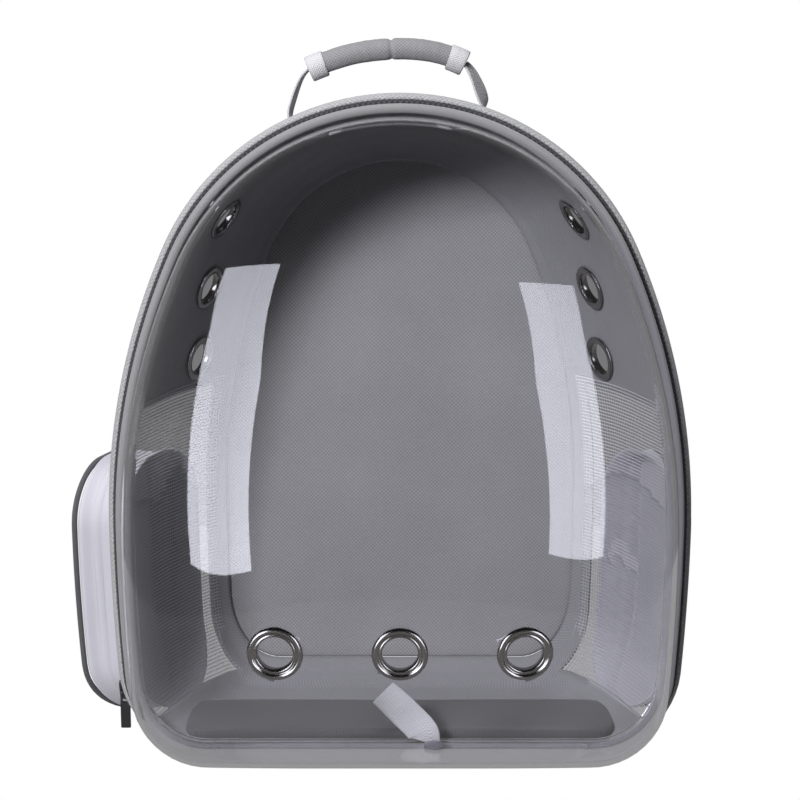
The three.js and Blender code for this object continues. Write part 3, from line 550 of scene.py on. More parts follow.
# Dark zip tape with its nylon coil, dull and coarsely ribbed at 1.6 mm.
zip_tape = cloth("coil zip tape", "#4a4a4d", "#232326", 0.0016, bump=0.8)
# Bonded polyester sewing thread, 0.7 mm thick where it lies on the cloth, with a slight sheen.
thread = new_material("bonded thread", Base_Color=linear("#a4a4a6"), Roughness=0.6, Sheen_Weight=0.3)[0]

# Each band's cross-section, in millimetres in from the rim and behind its plane, and how square it is.
BANDS = [
    {
        "name": "bubble_binding",
        "node": "front_binding",
        "slot": "binding_cloth",
        "material": binding_tape,
        "side": 8.8,
        "depth": -6.7,
        "wide": 2.9,
        "deep": 3.0,
        "power": 2.4,
    },
    {
        "name": "zip_band",
        "node": "rim_zip",
        "slot": "zip_tape",
        "material": zip_tape,
        "side": 6.4,
        "depth": 0.0,
        "wide": 3.0,
        "deep": 1.1,
        "power": 4.0,
    },
    {
        "name": "corded_welt",
        "node": "corded_band",
        "slot": "oxford_cloth",
        "material": oxford,
        "side": 6.0,
        "depth": 4.75,
        "wide": 6.0,
        "deep": 3.25,
        "power": 2.6,
    },
]


def sew(bm, points, pitch=STITCH["pitch"], radius=STITCH["radius"]):
    """Adds a row of stitches along points, each a short rounded bar in the piece's second material."""
    points = np.asarray(points, float)
    along = np.concatenate([[0], np.cumsum(np.linalg.norm(np.diff(points, axis=0), axis=1))])
    count = max(int(along[-1] / pitch), 1)
    pitch = along[-1] / count
    share, sides = STITCH["share"], STITCH["sides"]
    starts = (np.arange(count) + (1 - share) / 2) * pitch
    for start in starts:
        ends = []
        for at in (start, start + share * pitch):
            ends.append(np.array([np.interp(at, along, points[:, axis]) for axis in range(3)]))
        forward = ends[1] - ends[0]
        length = np.linalg.norm(forward)
        forward = forward / length
        side = np.cross(forward, (0, 0, 1) if abs(forward[2]) < 0.9 else (0, 1, 0))
        side /= np.linalg.norm(side)
        lift = np.cross(side, forward)
        arms = []
        for turn in np.arange(sides) * math.tau / sides:
            arms.append(side * math.cos(turn) + lift * math.sin(turn))
        loops = []
        for at, size in ((0.06, 0.55), (0.25, 1.0), (0.75, 1.0), (0.94, 0.55)):
            centre = ends[0] + forward * length * at
            loops.append([bm.verts.new(centre + arm * radius * size) for arm in arms])
        faces = [bm.faces.new(loops[0][::-1]), bm.faces.new(loops[-1])]
        for near, far in zip(loops, loops[1:]):
            for i in range(sides):
                faces.append(bm.faces.new((near[i], near[i + 1 - sides], far[i + 1 - sides], far[i])))
        for face in faces:
            face.material_index = 1
    return bm


def swell(value, power):
    """A sine or cosine bent towards a square: the higher the power, the squarer."""
    return math.copysign(abs(value) ** (2 / power), value)


for row in BANDS:
    rings = []
    for step in range(BAND_SIDES + 1):
        turn = math.tau * step / BAND_SIDES
        side = (row["side"] + row["wide"] * swell(math.cos(turn), row["power"])) / 1000
        depth = (row["depth"] + row["deep"] * swell(math.sin(turn), row["power"])) / 1000
        rings.append(ring(depth, side))
    bm = skin(rings)
    if row["name"] == "corded_welt":
        sew(bm, ring(STITCH_DEPTH, STITCH_SIDE))
    band = keep(bm, row["name"], row["material"], [row["node"]])
    band.data.materials.append(thread)

# Cloth shell
# The body is a gusset of oxford cloth, 3 mm thick with its lining and foam, that tapers from the rim to
# the back panel. Each side has a mesh window with three eyelets above it.
SHELL_DEPTH = 0.130
SHELL_WALL = 0.003
SIDE_TAPER, TOP_TAPER, BASE_RISE = 0.062, 0.046, 0.022
SAG = 0.0016
WINDOW = {"front": 0.015, "back": 0.118, "low": 0.017, "high": 0.222}
MOUTH = 0.0086
SIDES_FROM = 0.06
COLUMNS = (48, 32, 20)
# How far the shell has drawn in at each share of its depth, as shares of its tapers.
SHELL_SECTIONS = {
    "depth": (0.066, 0.27, 0.5, 0.71, 0.86, 0.955, 1),
    "side": (0.02, 0.16, 0.34, 0.55, 0.74, 0.89, 1),
    "top": (0.03, 0.13, 0.28, 0.48, 0.67, 0.85, 1),
    "base": (0, 0, 0, 0, 0.18, 0.55, 1),
}


def shell_ring(depth, inward=0.0, sag=0.0):
    """The shell's outer face at a depth behind the rim, moved inwards, with the cloth's slack."""
    share = depth / SHELL_DEPTH
    side, top, base = (
        np.interp(share, SHELL_SECTIONS["depth"], SHELL_SECTIONS[key]) for key in ("side", "top", "base")
    )
    points = ring(
        depth,
        side * SIDE_TAPER + inward,
        top=top * TOP_TAPER + inward,
        bottom=base * BASE_RISE + inward,
        corner=RIM["corner"] - side * SIDE_TAPER * 0.35 - inward,
    )
    if sag:
        hold = math.sin(math.pi * min(max(share, 0), 1))
        for point in points:
            ripple = noise.noise(Vector((point[0] * 9, point[1] * 22, point[2] * 9)))
            out = Vector((point[0], 0, point[2] - RIM["widest"])).normalized()
            if point[2] > 0.02:
                point += out * (ripple * sag * hold)
    return points


depths = np.concatenate([
    np.linspace(MOUTH, WINDOW["front"], 4)[:-1],
    np.linspace(WINDOW["front"], WINDOW["back"], 33),
    np.linspace(WINDOW["back"], SHELL_DEPTH, 9)[1:],
])


def in_columns(points):
    """The ring again, with its columns spaced so that two of them follow the window's top and foot."""
    right = points[: ROUND // 2 + 1]
    along = np.concatenate([[0], np.cumsum(np.linalg.norm(np.diff(right, axis=0), axis=1))])
    foot = max(WINDOW["low"], right[-1][2] + 0.004)
    stops = [0, *np.interp((-WINDOW["high"], -foot), -right[:, 2], along), along[-1]]
    spans = []
    for start, end, count in zip(stops, stops[1:], COLUMNS):
        spans.append(np.linspace(start, end, count, endpoint=False))
    even = [*np.concatenate(spans), along[-1]]
    half = np.stack([np.interp(even, along, right[:, axis]) for axis in range(3)], axis=1)
    return np.concatenate([half, half[-2::-1] * (-1, 1, 1)])


shell_rings = [in_columns(shell_ring(depth, sag=SAG)) for depth in depths]
bm = skin(shell_rings)
holes = []
for face in bm.faces:
    spot = face.calc_center_bounds()
    in_depth = WINDOW["front"] < spot.y - RIM_PLANE < WINDOW["back"]
    in_height = WINDOW["low"] < spot.z < WINDOW["high"]
    if in_depth and in_height and abs(spot.x) > SIDES_FROM:
        holes.append(face)
bmesh.ops.delete(bm, geom=holes, context="FACES")
# Polyester taffeta lines the inside, finer and flatter than the oxford, so it looks smoother. Its yarns
# are 0.2 mm apart, and are drawn at 1.1 mm so that they show.
lining = cloth("polyester taffeta", "#98989b", "#6f6f72", 0.0011, mottle=0.15, bump=0.3)
shell = keep(bm, "gusset", oxford, ["cloth_shell"])
shell.data.materials.append(lining)
wall = shell.modifiers.new("wall", "SOLIDIFY")
wall.thickness, wall.offset, wall.use_even_offset = SHELL_WALL, -1, True
wall.material_offset = 1
settle(shell)
punch(shell, EYELETS[3:])

# Mesh windows
# Open polyester net, knitted, with holes about 2 mm across, sewn to the inside of the gusset round
# each window. Its yarns are real here: a grid turned into wires.
NET_PITCH = 0.0023
NET_YARN = 0.00062
NET_LAP = 0.0035
NET_GAP, NET_SLACK = 0.001, 0.0022


def side_wall(depth, height, inward):
    """How far out the shell's side lies at a depth and height, less an inset."""
    low = min(max(int(np.searchsorted(depths, depth)) - 1, 0), len(depths) - 2)
    share = min(max((depth - depths[low]) / (depths[low + 1] - depths[low]), 0), 1)
    found = []
    for points in shell_rings[low : low + 2]:
        right = points[: ROUND // 2 + 1]
        found.append(np.interp(-height, -right[:, 2], right[:, 0]))
    return found[0] * (1 - share) + found[1] * share - inward


# Pale textured polyester yarn, matt, with the slight sheen of its fibres.
pale_yarn = new_material("knitted net", Base_Color=linear("#c9c9cc"), Roughness=0.7, Sheen_Weight=0.2)[0]
for word, sign in (("left", -1), ("right", 1)):
    front, back = WINDOW["front"] - NET_LAP, WINDOW["back"] + NET_LAP
    low, high = WINDOW["low"] - NET_LAP, WINDOW["high"] + NET_LAP
    columns, rows = round((back - front) / NET_PITCH), round((high - low) / NET_PITCH)
    bm = bmesh.new()
    bmesh.ops.create_grid(bm, x_segments=columns, y_segments=rows, size=0.5)
    for vert in bm.verts:
        depth = front + (vert.co.x + 0.5) * (back - front)
        height = low + (vert.co.y + 0.5) * (high - low)
        slack = NET_SLACK * noise.noise(Vector((depth * 30, height * 12, sign)))
        slack *= math.sin(math.pi * (vert.co.x + 0.5)) * math.sin(math.pi * (vert.co.y + 0.5))
        out = side_wall(depth, height, SHELL_WALL + NET_GAP) - abs(slack)
        vert.co = (sign * out, RIM_PLANE + depth, height)
    bmesh.ops.wireframe(
        bm,
        faces=bm.faces,
        thickness=NET_YARN,
        use_replace=True,
        use_boundary=True,
        use_even_offset=False,
    )
    bmesh.ops.recalc_face_normals(bm, faces=bm.faces)
    net = keep(bm, f"net_{word}", pale_yarn, [f"mesh_panel_{word}"])

# Back panel
# A board between two layers of oxford cloth, sewn into the shell's rear edge with a corded piping. Its
# front is the wall behind the pet, slightly slack, so the light falls off towards its edges.
PANEL_DEPTH, PANEL_HEART = 0.1303, 0.19
PANEL_THICKNESS, PANEL_ROLL, PANEL_SLACK = 0.006, 0.003, 0.0016
PIPING, PIPING_GAP = 0.002, 0.0003


def slab(edge, middle, thickness, roll, slack, rows):
    """A closed pad: a rounded edge between two faces, with a slack that is given at each point."""
    middle = np.asarray(middle, float)
    across = edge - middle
    reach = np.linalg.norm(across, axis=1)[:, None]
    first = np.cross(across[0], across[len(across) // 4])
    normal = first / np.linalg.norm(first)
    flat = middle + across * (1 - roll / reach)
    rings = []
    for face in (-1, 1):
        shares = np.linspace(0, 1, rows, endpoint=False)
        for share in shares if face < 0 else shares[::-1]:
            ring_now = middle + (flat - middle) * share
            give = np.array([slack(point, face) * (1 - share**6) for point in ring_now])
            rings.append(ring_now + normal * (thickness / 2 * face) + normal * give[:, None])
        if face < 0:
            for turn in np.linspace(-math.pi / 2, math.pi / 2, 9):
                out = across / reach * roll * math.cos(turn)
                rings.append(flat + out + normal * (thickness / 2 * math.sin(turn)))
    return skin(rings)


def lay_uv(bm, across, along):
    """Sets the cloth's UVs from two axes of the piece, in metres."""
    cloth = bm.loops.layers.uv["cloth"]
    for face in bm.faces:
        for loop in face.loops:
            loop[cloth].uv = (loop.vert.co[across], loop.vert.co[along])
    return bm


# The same oxford, drawn taut over the board, so it is smoother and more even than on the shell.
panel_cloth = cloth("fine polyester oxford", "#a2a2a4", "#7c7c7e", 0.0013, mottle=0.12, bump=0.35)


def panel_slack(point, face):
    """The slack of the back wall's cloth."""
    return PANEL_SLACK * face * noise.noise(Vector((point[0] * 7, 3.1, point[2] * 7)))


edge = shell_ring(SHELL_DEPTH)
edge[:, 1] = RIM_PLANE + PANEL_DEPTH + PANEL_THICKNESS / 2
bm = slab(edge, (0, edge[0, 1], PANEL_HEART), PANEL_THICKNESS, PANEL_ROLL, panel_slack, rows=26)
keep(lay_uv(bm, 0, 2), "back_wall", panel_cloth, ["back_panel"])


def cord_tube(points, radius, sides=12, closed=True):
    """A round tube through points, closed into a loop or with its ends capped."""
    points = np.asarray(points, float)
    if closed:
        points = points[:-1] if np.allclose(points[0], points[-1]) else points
        ahead, behind = np.roll(points, -1, axis=0), np.roll(points, 1, axis=0)
    else:
        ahead = np.concatenate([points[1:], points[-1:] * 2 - points[-2:-1]])
        behind = np.concatenate([points[:1] * 2 - points[1:2], points[:-1]])
    tangents = ahead - behind
    tangents /= np.linalg.norm(tangents, axis=1)[:, None]
    up = np.linalg.svd(points - points.mean(axis=0))[2][2]
    rings = []
    for point, tangent in zip(points, tangents):
        side = np.cross(tangent, up)
        side /= np.linalg.norm(side)
        lift = np.cross(side, tangent)
        turns = np.linspace(0, math.tau, sides + 1)
        size = radius(len(rings) / (len(points) - 1)) if callable(radius) else radius
        rings.append(point + (side * np.cos(turns)[:, None] + lift * np.sin(turns)[:, None]) * size)
    return skin([*rings, rings[0]] if closed else rings)


piping = shell_ring(SHELL_DEPTH, inward=-PIPING - PIPING_GAP)
piping[:, 1] = RIM_PLANE + PANEL_DEPTH + PIPING
keep(cord_tube(piping, PIPING), "rear_piping", binding_tape, ["back_piping"])

# Side pockets
# A bellows pocket of light cloth over each window: an outer face, edged with piping, and a gusset back
# to the shell with a zip round it. The left one stands full, and the right one lies flat.
POCKET = {"front": 0.018, "back": 0.112, "low": 0.014, "high": 0.184, "corner": 0.038}
POCKETS = [
    {"word": "left", "sign": -1, "taper": 0.030, "bulge": 0.022, "seams": (0.33, 0.52)},
    {"word": "right", "sign": 1, "taper": 0.014, "bulge": -0.002, "seams": (0.3,)},
]
POCKET_WALL = 0.0016
FACE_FLAT, FACE_DIP, FACE_SLACK, CREASE = 0.965, 0.0016, 0.0008, 0.0022
BELLOWS = {"tuck": 0.0022, "wave": 0.0016, "least": 0.002, "gap": 0.0004}
ZIP_GROOVE = {"at": 0.42, "width": 0.07, "depth": 0.0012}
POCKET_CORD, CORD_LAP = 0.0018, 0.00105
POCKET_SEAM = {"lift": 0.0009, "pitch": 0.003, "radius": 0.0003}
SIDE_STEPS = 160

# Fine pale polyester with a lilac cast, smooth enough to shine a little where it turns.
pocket_cloth = cloth("pale polyester", "#bdbcc5", "#a5a4ae", 0.0009, mottle=0.1, bump=0.25, sheen=0.3)
# The same binding tape as round the rim, dyed dark and left matt.
dark_tape = cloth("dark binding tape", "#5c5c5f", "#3c3c3f", 0.0008, mottle=0.1, bump=0.3)


def rounded(front, back, low, high, corner, count):
    """A rounded rectangle of depths and heights, in even steps from the middle of its foot."""
    points = [((front + back) / 2, low)]
    for y, z, start in (
        (back - corner, low + corner, -0.5),
        (back - corner, high - corner, 0),
        (front + corner, high - corner, 0.5),
        (front + corner, low + corner, 1),
    ):
        for turn in np.linspace(start, start + 0.5, 16) * math.pi:
            points.append((y + corner * math.cos(turn), z + corner * math.sin(turn)))
    points = np.array([*points, points[0]])
    along = np.concatenate([[0], np.cumsum(np.hypot(*np.diff(points, axis=0).T))])
    even = np.linspace(0, along[-1], count + 1)
    return np.stack([np.interp(even, along, points[:, axis]) for axis in (0, 1)], axis=1)


def face_side(depth, height, inward, taper):
    """How far out a pocket's face lies at a depth and height, before its bulge."""
    side = inward + taper * (depth - POCKET["front"]) / (POCKET["back"] - POCKET["front"])
    x, z = outline(side, top=inward, bottom=inward, corner=RIM["corner"] - inward, count=SIDE_STEPS)
    right = slice(0, SIDE_STEPS // 2 + 1)
    return np.interp(-height, -z[right], x[right])


def bellows(row, rim, share, lift=0.0):
    """A line round a pocket's gusset, from its face at 0 to the shell at 1, and lifted off it."""
    middle = (rim.min(axis=0) + rim.max(axis=0)) / 2
    points = []
    for depth, height in rim:
        out = face_side(depth, height, 0.0, row["taper"]) + row["bulge"] - FACE_DIP
        inner = min(side_wall(depth, height, -BELLOWS["gap"]), out - BELLOWS["least"])
        wave = noise.noise(Vector((depth * 20, height * 20, share * 2)))
        tuck = math.sin(math.pi * share) * (BELLOWS["tuck"] + BELLOWS["wave"] * wave) - lift
        groove = (share - ZIP_GROOVE["at"]) / ZIP_GROOVE["width"]
        tuck -= ZIP_GROOVE["depth"] * math.exp(-(groove**2))
        pull = np.array((depth, height)) - middle
        pull /= np.linalg.norm(pull)
        d, z = np.array((depth, height)) - pull * tuck
        points.append((row["sign"] * (out + (inner - out) * share), RIM_PLANE + d, z))
    return points


for row in POCKETS:
    word, sign = row["word"], row["sign"]
    rim = rounded(POCKET["front"], POCKET["back"], POCKET["low"], POCKET["high"], POCKET["corner"], 96)
    middle = (rim.min(axis=0) + rim.max(axis=0)) / 2
    rings = []
    for share in [*np.linspace(0, FACE_FLAT, 20), 0.985, 1.0]:
        points = []
        for depth, height in middle + (rim - middle) * share:
            out = face_side(depth, height, 0.0, row["taper"]) + row["bulge"]
            out -= FACE_DIP * max(share - FACE_FLAT, 0) / (1 - FACE_FLAT)
            crease = noise.noise(Vector((depth * 26, height * 11, sign * 2.0)))
            out -= (FACE_SLACK + CREASE * abs(crease)) * (1 - share**4)
            points.append((sign * out, RIM_PLANE + depth, height))
        rings.append(points)
    rings += [bellows(row, rim, share) for share in np.linspace(0.06, 1, 14)]
    pocket = keep(skin(rings), f"pocket_{word}", pocket_cloth, [f"side_pocket_{word}"])
    wall = pocket.modifiers.new("wall", "SOLIDIFY")
    wall.thickness, wall.offset = POCKET_WALL, 0
    settle(pocket)
    # The left zip runs round the gusset between two rows of stitches. The flat one's shows a single row.
    bm = bmesh.new()
    bm.from_mesh(pocket.data)
    for share in row["seams"]:
        seam = bellows(row, rim, share, lift=POCKET_SEAM["lift"])
        sew(bm, seam, pitch=POCKET_SEAM["pitch"], radius=POCKET_SEAM["radius"])
    bm.to_mesh(pocket.data)
    bm.free()
    pocket.data.materials.append(thread)
    cord = rounded(
        POCKET["front"] + POCKET_CORD,
        POCKET["back"] - POCKET_CORD,
        POCKET["low"] + POCKET_CORD,
        POCKET["high"] - POCKET_CORD,
        POCKET["corner"] - POCKET_CORD,
        120,
    )
    points = []
    for depth, height in cord:
        out = face_side(depth, height, -POCKET_CORD - CORD_LAP, row["taper"]) + row["bulge"]
        points.append((sign * out, RIM_PLANE + depth, height))
    tube = cord_tube(points, POCKET_CORD, sides=10)
    keep(tube, f"pocket_cord_{word}", dark_tape, [f"pocket_piping_{word}"])

# Zip slider and pull
# A die-cast zinc slider on the left pocket's zip, and the flat pull that hangs from its bridge and
# swings on it. Both are stoved black.
SOFT_EDGE = {"slider": 0.0003, "pull": 0.0002}

# Black stoving lacquer on zinc: glossy, and rubbed a little duller in patches.
black_lacquer, tree, shader = new_material(
    "black lacquered zinc", Base_Color=linear("#17171a"), Metallic=0.0, Roughness=0.28, Coat_Weight=0.6
)
where = add(tree, "ShaderNodeTexCoord")
rubbed = add(tree, "ShaderNodeTexNoise", {"Vector": where.outputs["Object"], "Scale": 700.0, "Detail": 4.0})
worn = add(tree, "ShaderNodeMapRange", {"Value": rubbed.outputs["Fac"], "To Min": 0.2, "To Max": 0.42})
tree.links.new(worn.outputs["Result"], shader.inputs["Roughness"])


def bevelled(node, name, material, width, body="bag"):
    """A copy of a hard CAD node with its facets joined and its edges rounded."""
    bm = bmesh.new()
    bm.from_mesh(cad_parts[node].data)
    bmesh.ops.remove_doubles(bm, verts=bm.verts, dist=1e-6)
    bmesh.ops.dissolve_limit(bm, angle_limit=math.radians(3), verts=bm.verts, edges=bm.edges)
    sharp = [edge for edge in bm.edges if edge.calc_face_angle(0) > math.radians(25)]
    bmesh.ops.bevel(
        bm,
        geom=sharp,
        offset=width,
        offset_type="OFFSET",
        affect="EDGES",
        segments=2,
        profile=0.5,
        material=-1,
        clamp_overlap=True,
    )
    bmesh.ops.recalc_face_normals(bm, faces=bm.faces)
    piece = keep(bm, name, material, [node], body)
    piece.data.set_sharp_from_angle(angle=math.radians(40))
    return piece


bevelled("pocket_slider", "zip_slider", black_lacquer, SOFT_EDGE["slider"])
bevelled("pocket_pull", "zip_pull", black_lacquer, SOFT_EDGE["pull"], body="pull")

# Top handle
# A foam rod wrapped in oxford cloth, sewn shut along its underside and pinched in the middle. The strap
# inside it shows as a folded end of ribbed webbing at each end, and is sewn down to the crown.
GRIP_DEPTH, GRIP_RADIUS = 0.034, 0.007
GRIP_HEIGHT, GRIP_ARCH = 0.445, 0.014
GRIP_LEFT, GRIP_RIGHT = 0.056, 0.040
GRIP_STEPS = 110
HANDLE_FLARE, HANDLE_FOOT, FOOT_BEND = 0.012, 0.016, 0.0012
WEBBING_THICKNESS, HANDLE_WEBBING = 0.0016, 0.020
STRAP_TWIST = {"left": 0.1, "right": 0.36}
FOLD = {"reach": 0.005, "drop": 0.003, "narrow": 0.0125, "wide": 0.016, "gap": 0.0004}
HALF_WAY, STRAP_BULGE, SEWN_GAP, SLOPE_STEP = 0.72, 0.002, 0.0003, 0.0004
GRIP_SKIN, SEAM_RIDGE = 0.0001, 0.0008
PINCH = {"at": 0.53, "width": 0.012, "depth": 0.0011}
DRAWN_IN = {"width": 0.02, "depth": 0.0006}
# The folded end of webbing round the grip: how far along it, and how far it stands off the grip.
SLEEVE_SHARE = 0.11
SLEEVE = [
    (0.0, 0.0006),
    (0.05, 0.0010),
    (0.3, 0.0010),
    (0.6, 0.0010),
    (0.95, 0.0010),
    (1.0, 0.0006),
    (1.0, 0.0001),
    (0.5, 0.0001),
    (0.0, 0.0001),
]


def smooth_line(stations, count):
    """Even steps along a smooth curve through a few stations of any number of columns."""
    stations = np.asarray(stations, float)
    gaps = np.linalg.norm(np.diff(stations[:, :3], axis=0), axis=1) ** 0.5
    knots = np.concatenate([[0], np.cumsum(gaps)])
    slopes = np.gradient(stations, knots, axis=0, edge_order=2 if len(knots) > 2 else 1)
    fine = np.linspace(0, knots[-1], count * 6)
    place = np.clip(np.searchsorted(knots, fine, side="right") - 1, 0, len(knots) - 2)
    width = (knots[place + 1] - knots[place])[:, None]
    t = (fine - knots[place])[:, None] / width
    a, b = stations[place], stations[place + 1]
    m, n = slopes[place] * width, slopes[place + 1] * width
    curve = (2 * t**3 - 3 * t**2 + 1) * a + (t**3 - 2 * t**2 + t) * m
    curve = curve + (3 * t**2 - 2 * t**3) * b + (t**3 - t**2) * n
    along = np.concatenate([[0], np.cumsum(np.linalg.norm(np.diff(curve[:, :3], axis=0), axis=1))])
    even = np.linspace(0, along[-1], count)
    return np.stack([np.interp(even, along, curve[:, i]) for i in range(curve.shape[1])], axis=1)


def cap(bm):
    """Closes the open ends of a tube or band."""
    open_edges = [edge for edge in bm.edges if edge.is_boundary]
    bmesh.ops.holes_fill(bm, edges=open_edges)
    caps = [face for face in bm.faces if len(face.verts) > 4]
    bmesh.ops.poke(bm, faces=caps)
    bmesh.ops.recalc_face_normals(bm, faces=bm.faces)
    return bm


def strap(stations, thickness, power=6.0, count=60, sides=28):
    """A flat band through stations of x, y, z, width and the direction across it, with its ends closed."""
    line = smooth_line(stations, count)
    points, widths, across = line[:, :3], line[:, 3], line[:, 4:7]
    tangents = np.gradient(points, axis=0)
    tangents /= np.linalg.norm(tangents, axis=1)[:, None]
    rings = []
    for point, tangent, width, side in zip(points, tangents, widths, across):
        side = side - tangent * (side @ tangent)
        side /= np.linalg.norm(side)
        lift = np.cross(tangent, side)
        turns = np.linspace(0, math.tau, sides + 1)
        c, s = np.cos(turns), np.sin(turns)
        u = np.sign(c) * np.abs(c) ** (2 / power) * width / 2
        v = np.sign(s) * np.abs(s) ** (2 / power) * thickness / 2
        rings.append(point + u[:, None] * side + v[:, None] * lift)
    return cap(skin(rings))


# Polypropylene webbing, light grey, with fine ribs 0.8 mm apart.
webbing = cloth("ribbed webbing", "#c6c6ca", "#97979b", 0.0008, mottle=0.15, bump=0.7, roughness=0.6)

grip_line = smooth_line(
    [
        (-GRIP_LEFT, GRIP_DEPTH, GRIP_HEIGHT - GRIP_ARCH * 0.88),
        (-0.75 * GRIP_LEFT, GRIP_DEPTH, GRIP_HEIGHT - GRIP_ARCH * 0.5),
        (-0.45 * GRIP_LEFT, GRIP_DEPTH, GRIP_HEIGHT - GRIP_ARCH * 0.17),
        (0, GRIP_DEPTH, GRIP_HEIGHT),
        (0.45 * GRIP_RIGHT, GRIP_DEPTH, GRIP_HEIGHT - GRIP_ARCH * 0.1),
        (0.75 * GRIP_RIGHT, GRIP_DEPTH, GRIP_HEIGHT - GRIP_ARCH * 0.32),
        (GRIP_RIGHT, GRIP_DEPTH, GRIP_HEIGHT - GRIP_ARCH * 0.62),
    ],
    GRIP_STEPS,
)
grip_line[:, 1] += RIM_PLANE


def grip_radius(share):
    """The grip's radius along it: pinched in the middle and drawn in at both ends."""
    pinch = PINCH["depth"] * math.exp(-(((share - PINCH["at"]) / PINCH["width"]) ** 2))
    first, last = share / DRAWN_IN["width"], (1 - share) / DRAWN_IN["width"]
    ends = DRAWN_IN["depth"] * (math.exp(-(first**2)) + math.exp(-(last**2)))
    return GRIP_RADIUS - GRIP_SKIN - pinch - ends + 0.00025 * noise.noise(Vector((share * 30, 0.3, 0)))


bm = cap(cord_tube(grip_line, grip_radius, sides=28, closed=False))
for vert in bm.verts:
    under = max(0.0, -(vert.co.z - np.interp(vert.co.x, grip_line[:, 0], grip_line[:, 2])) / GRIP_RADIUS)
    vert.co.z += SEAM_RIDGE * under**6
# The same oxford in a darker grey, with a finer grain.
grip_cloth = cloth("handle oxford", "#88888b", "#626265", 0.0011, mottle=0.2)
grip = keep(bm, "padded_grip", grip_cloth, ["handle_grip"])


def crown_height(side, depth):
    """How high the shell's crown lies at a side and depth."""
    points = shell_ring(depth)[: ROUND // 4]
    return float(np.interp(abs(side), points[:, 0], points[:, 2]))


for word, sign, end in (("left", -1, 0), ("right", 1, -1)):
    start = grip_line[end]
    outward = grip_line[end] - grip_line[1 if end == 0 else -2]
    outward /= np.linalg.norm(outward)
    feet = []
    for share in (0, 0.5, 1):
        side = abs(start[0]) + HANDLE_FLARE + share * HANDLE_FOOT
        before, after = (crown_height(side + step, GRIP_DEPTH) for step in (-SLOPE_STEP, SLOPE_STEP))
        normal = Vector(((before - after) * sign, 0, 2 * SLOPE_STEP)).normalized()
        seat = Vector((sign * side, RIM_PLANE + GRIP_DEPTH, crown_height(side, GRIP_DEPTH)))
        point = seat + normal * (SEWN_GAP + WEBBING_THICKNESS / 2 + (1 - share) * FOOT_BEND)
        feet.append((*point, HANDLE_WEBBING, 0, 1, 0))
    half_way = start + (np.array(feet[0][:3]) - start) * HALF_WAY + (sign * STRAP_BULGE, 0, 0)
    twist = STRAP_TWIST[word]
    stations = [
        (*(start + outward * FOLD["gap"]), FOLD["narrow"], twist, 1, 0),
        (*(start + outward * FOLD["reach"] + (0, 0, -FOLD["drop"])), FOLD["wide"], twist, 1, 0),
        (*half_way, HANDLE_WEBBING, twist, 1, 0),
        *feet,
    ]
    bm = strap(stations, WEBBING_THICKNESS, count=70, sides=24)
    sleeve = []
    final = GRIP_STEPS - 1
    for share, over in SLEEVE:
        place = share * SLEEVE_SHARE
        index = round((place if end == 0 else 1 - place) * final)
        at = grip_line[index]
        near = grip_line[min(index + 1, final)] - grip_line[max(index - 1, 0)]
        near /= np.linalg.norm(near)
        side = np.cross(near, (0, 1, 0))
        turns = np.linspace(0, math.tau, 29)
        across = side * np.cos(turns)[:, None] + np.array((0, 1, 0)) * np.sin(turns)[:, None]
        sleeve.append(at + across * (GRIP_RADIUS + over))
    wrap = skin([*sleeve, sleeve[0]])
    wrap_mesh = bpy.data.meshes.new("wrap")
    wrap.to_mesh(wrap_mesh)
    wrap.free()
    bm.from_mesh(wrap_mesh)
    bmesh.ops.recalc_face_normals(bm, faces=bm.faces)
    keep(bm, f"handle_strap_{word}", webbing, [f"handle_webbing_{word}"])

# Floor mat
# A thin foam mat covered in dark taffeta, cut to the floor and laid loose in it. Its top is a little
# uneven.
MAT = {"front": 0.011, "back": 0.072, "half_width": 0.142, "corner": 0.014, "thickness": 0.009}
MAT_SEAT, MAT_INSET, MAT_ROLL, MAT_THINNED, MAT_SLACK = 0.0033, 0.0012, 0.003, 0.0006, 0.0012


def mat_slack(point, face):
    """The mat's top is uneven, and its underside lies flat."""
    lift = MAT_SLACK * noise.noise(Vector((point[0] * 16, point[1] * 16, 0.7)))
    return lift if face > 0 else 0.0


half_width = MAT["half_width"] - MAT_INSET
plan = rounded(-half_width, half_width, MAT["front"], MAT["back"], MAT["corner"], 160)
heart = np.full(len(plan), MAT_SEAT + MAT["thickness"] / 2)
edge = np.stack([plan[:, 0], RIM_PLANE + plan[:, 1], heart], axis=1)
middle = (0, RIM_PLANE + (MAT["front"] + MAT["back"]) / 2, edge[0, 2])
# Dark taffeta, calendered flat and matt. Its yarns are drawn as coarse as those of the lining.
mat_cloth = cloth("dark taffeta", "#5f5f62", "#444447", 0.0011, mottle=0.15, bump=0.3)
bm = lay_uv(slab(edge, middle, MAT["thickness"] - MAT_THINNED, MAT_ROLL, mat_slack, rows=16), 0, 1)
mat = keep(bm, "foam_mat", mat_cloth, ["floor_mat"])

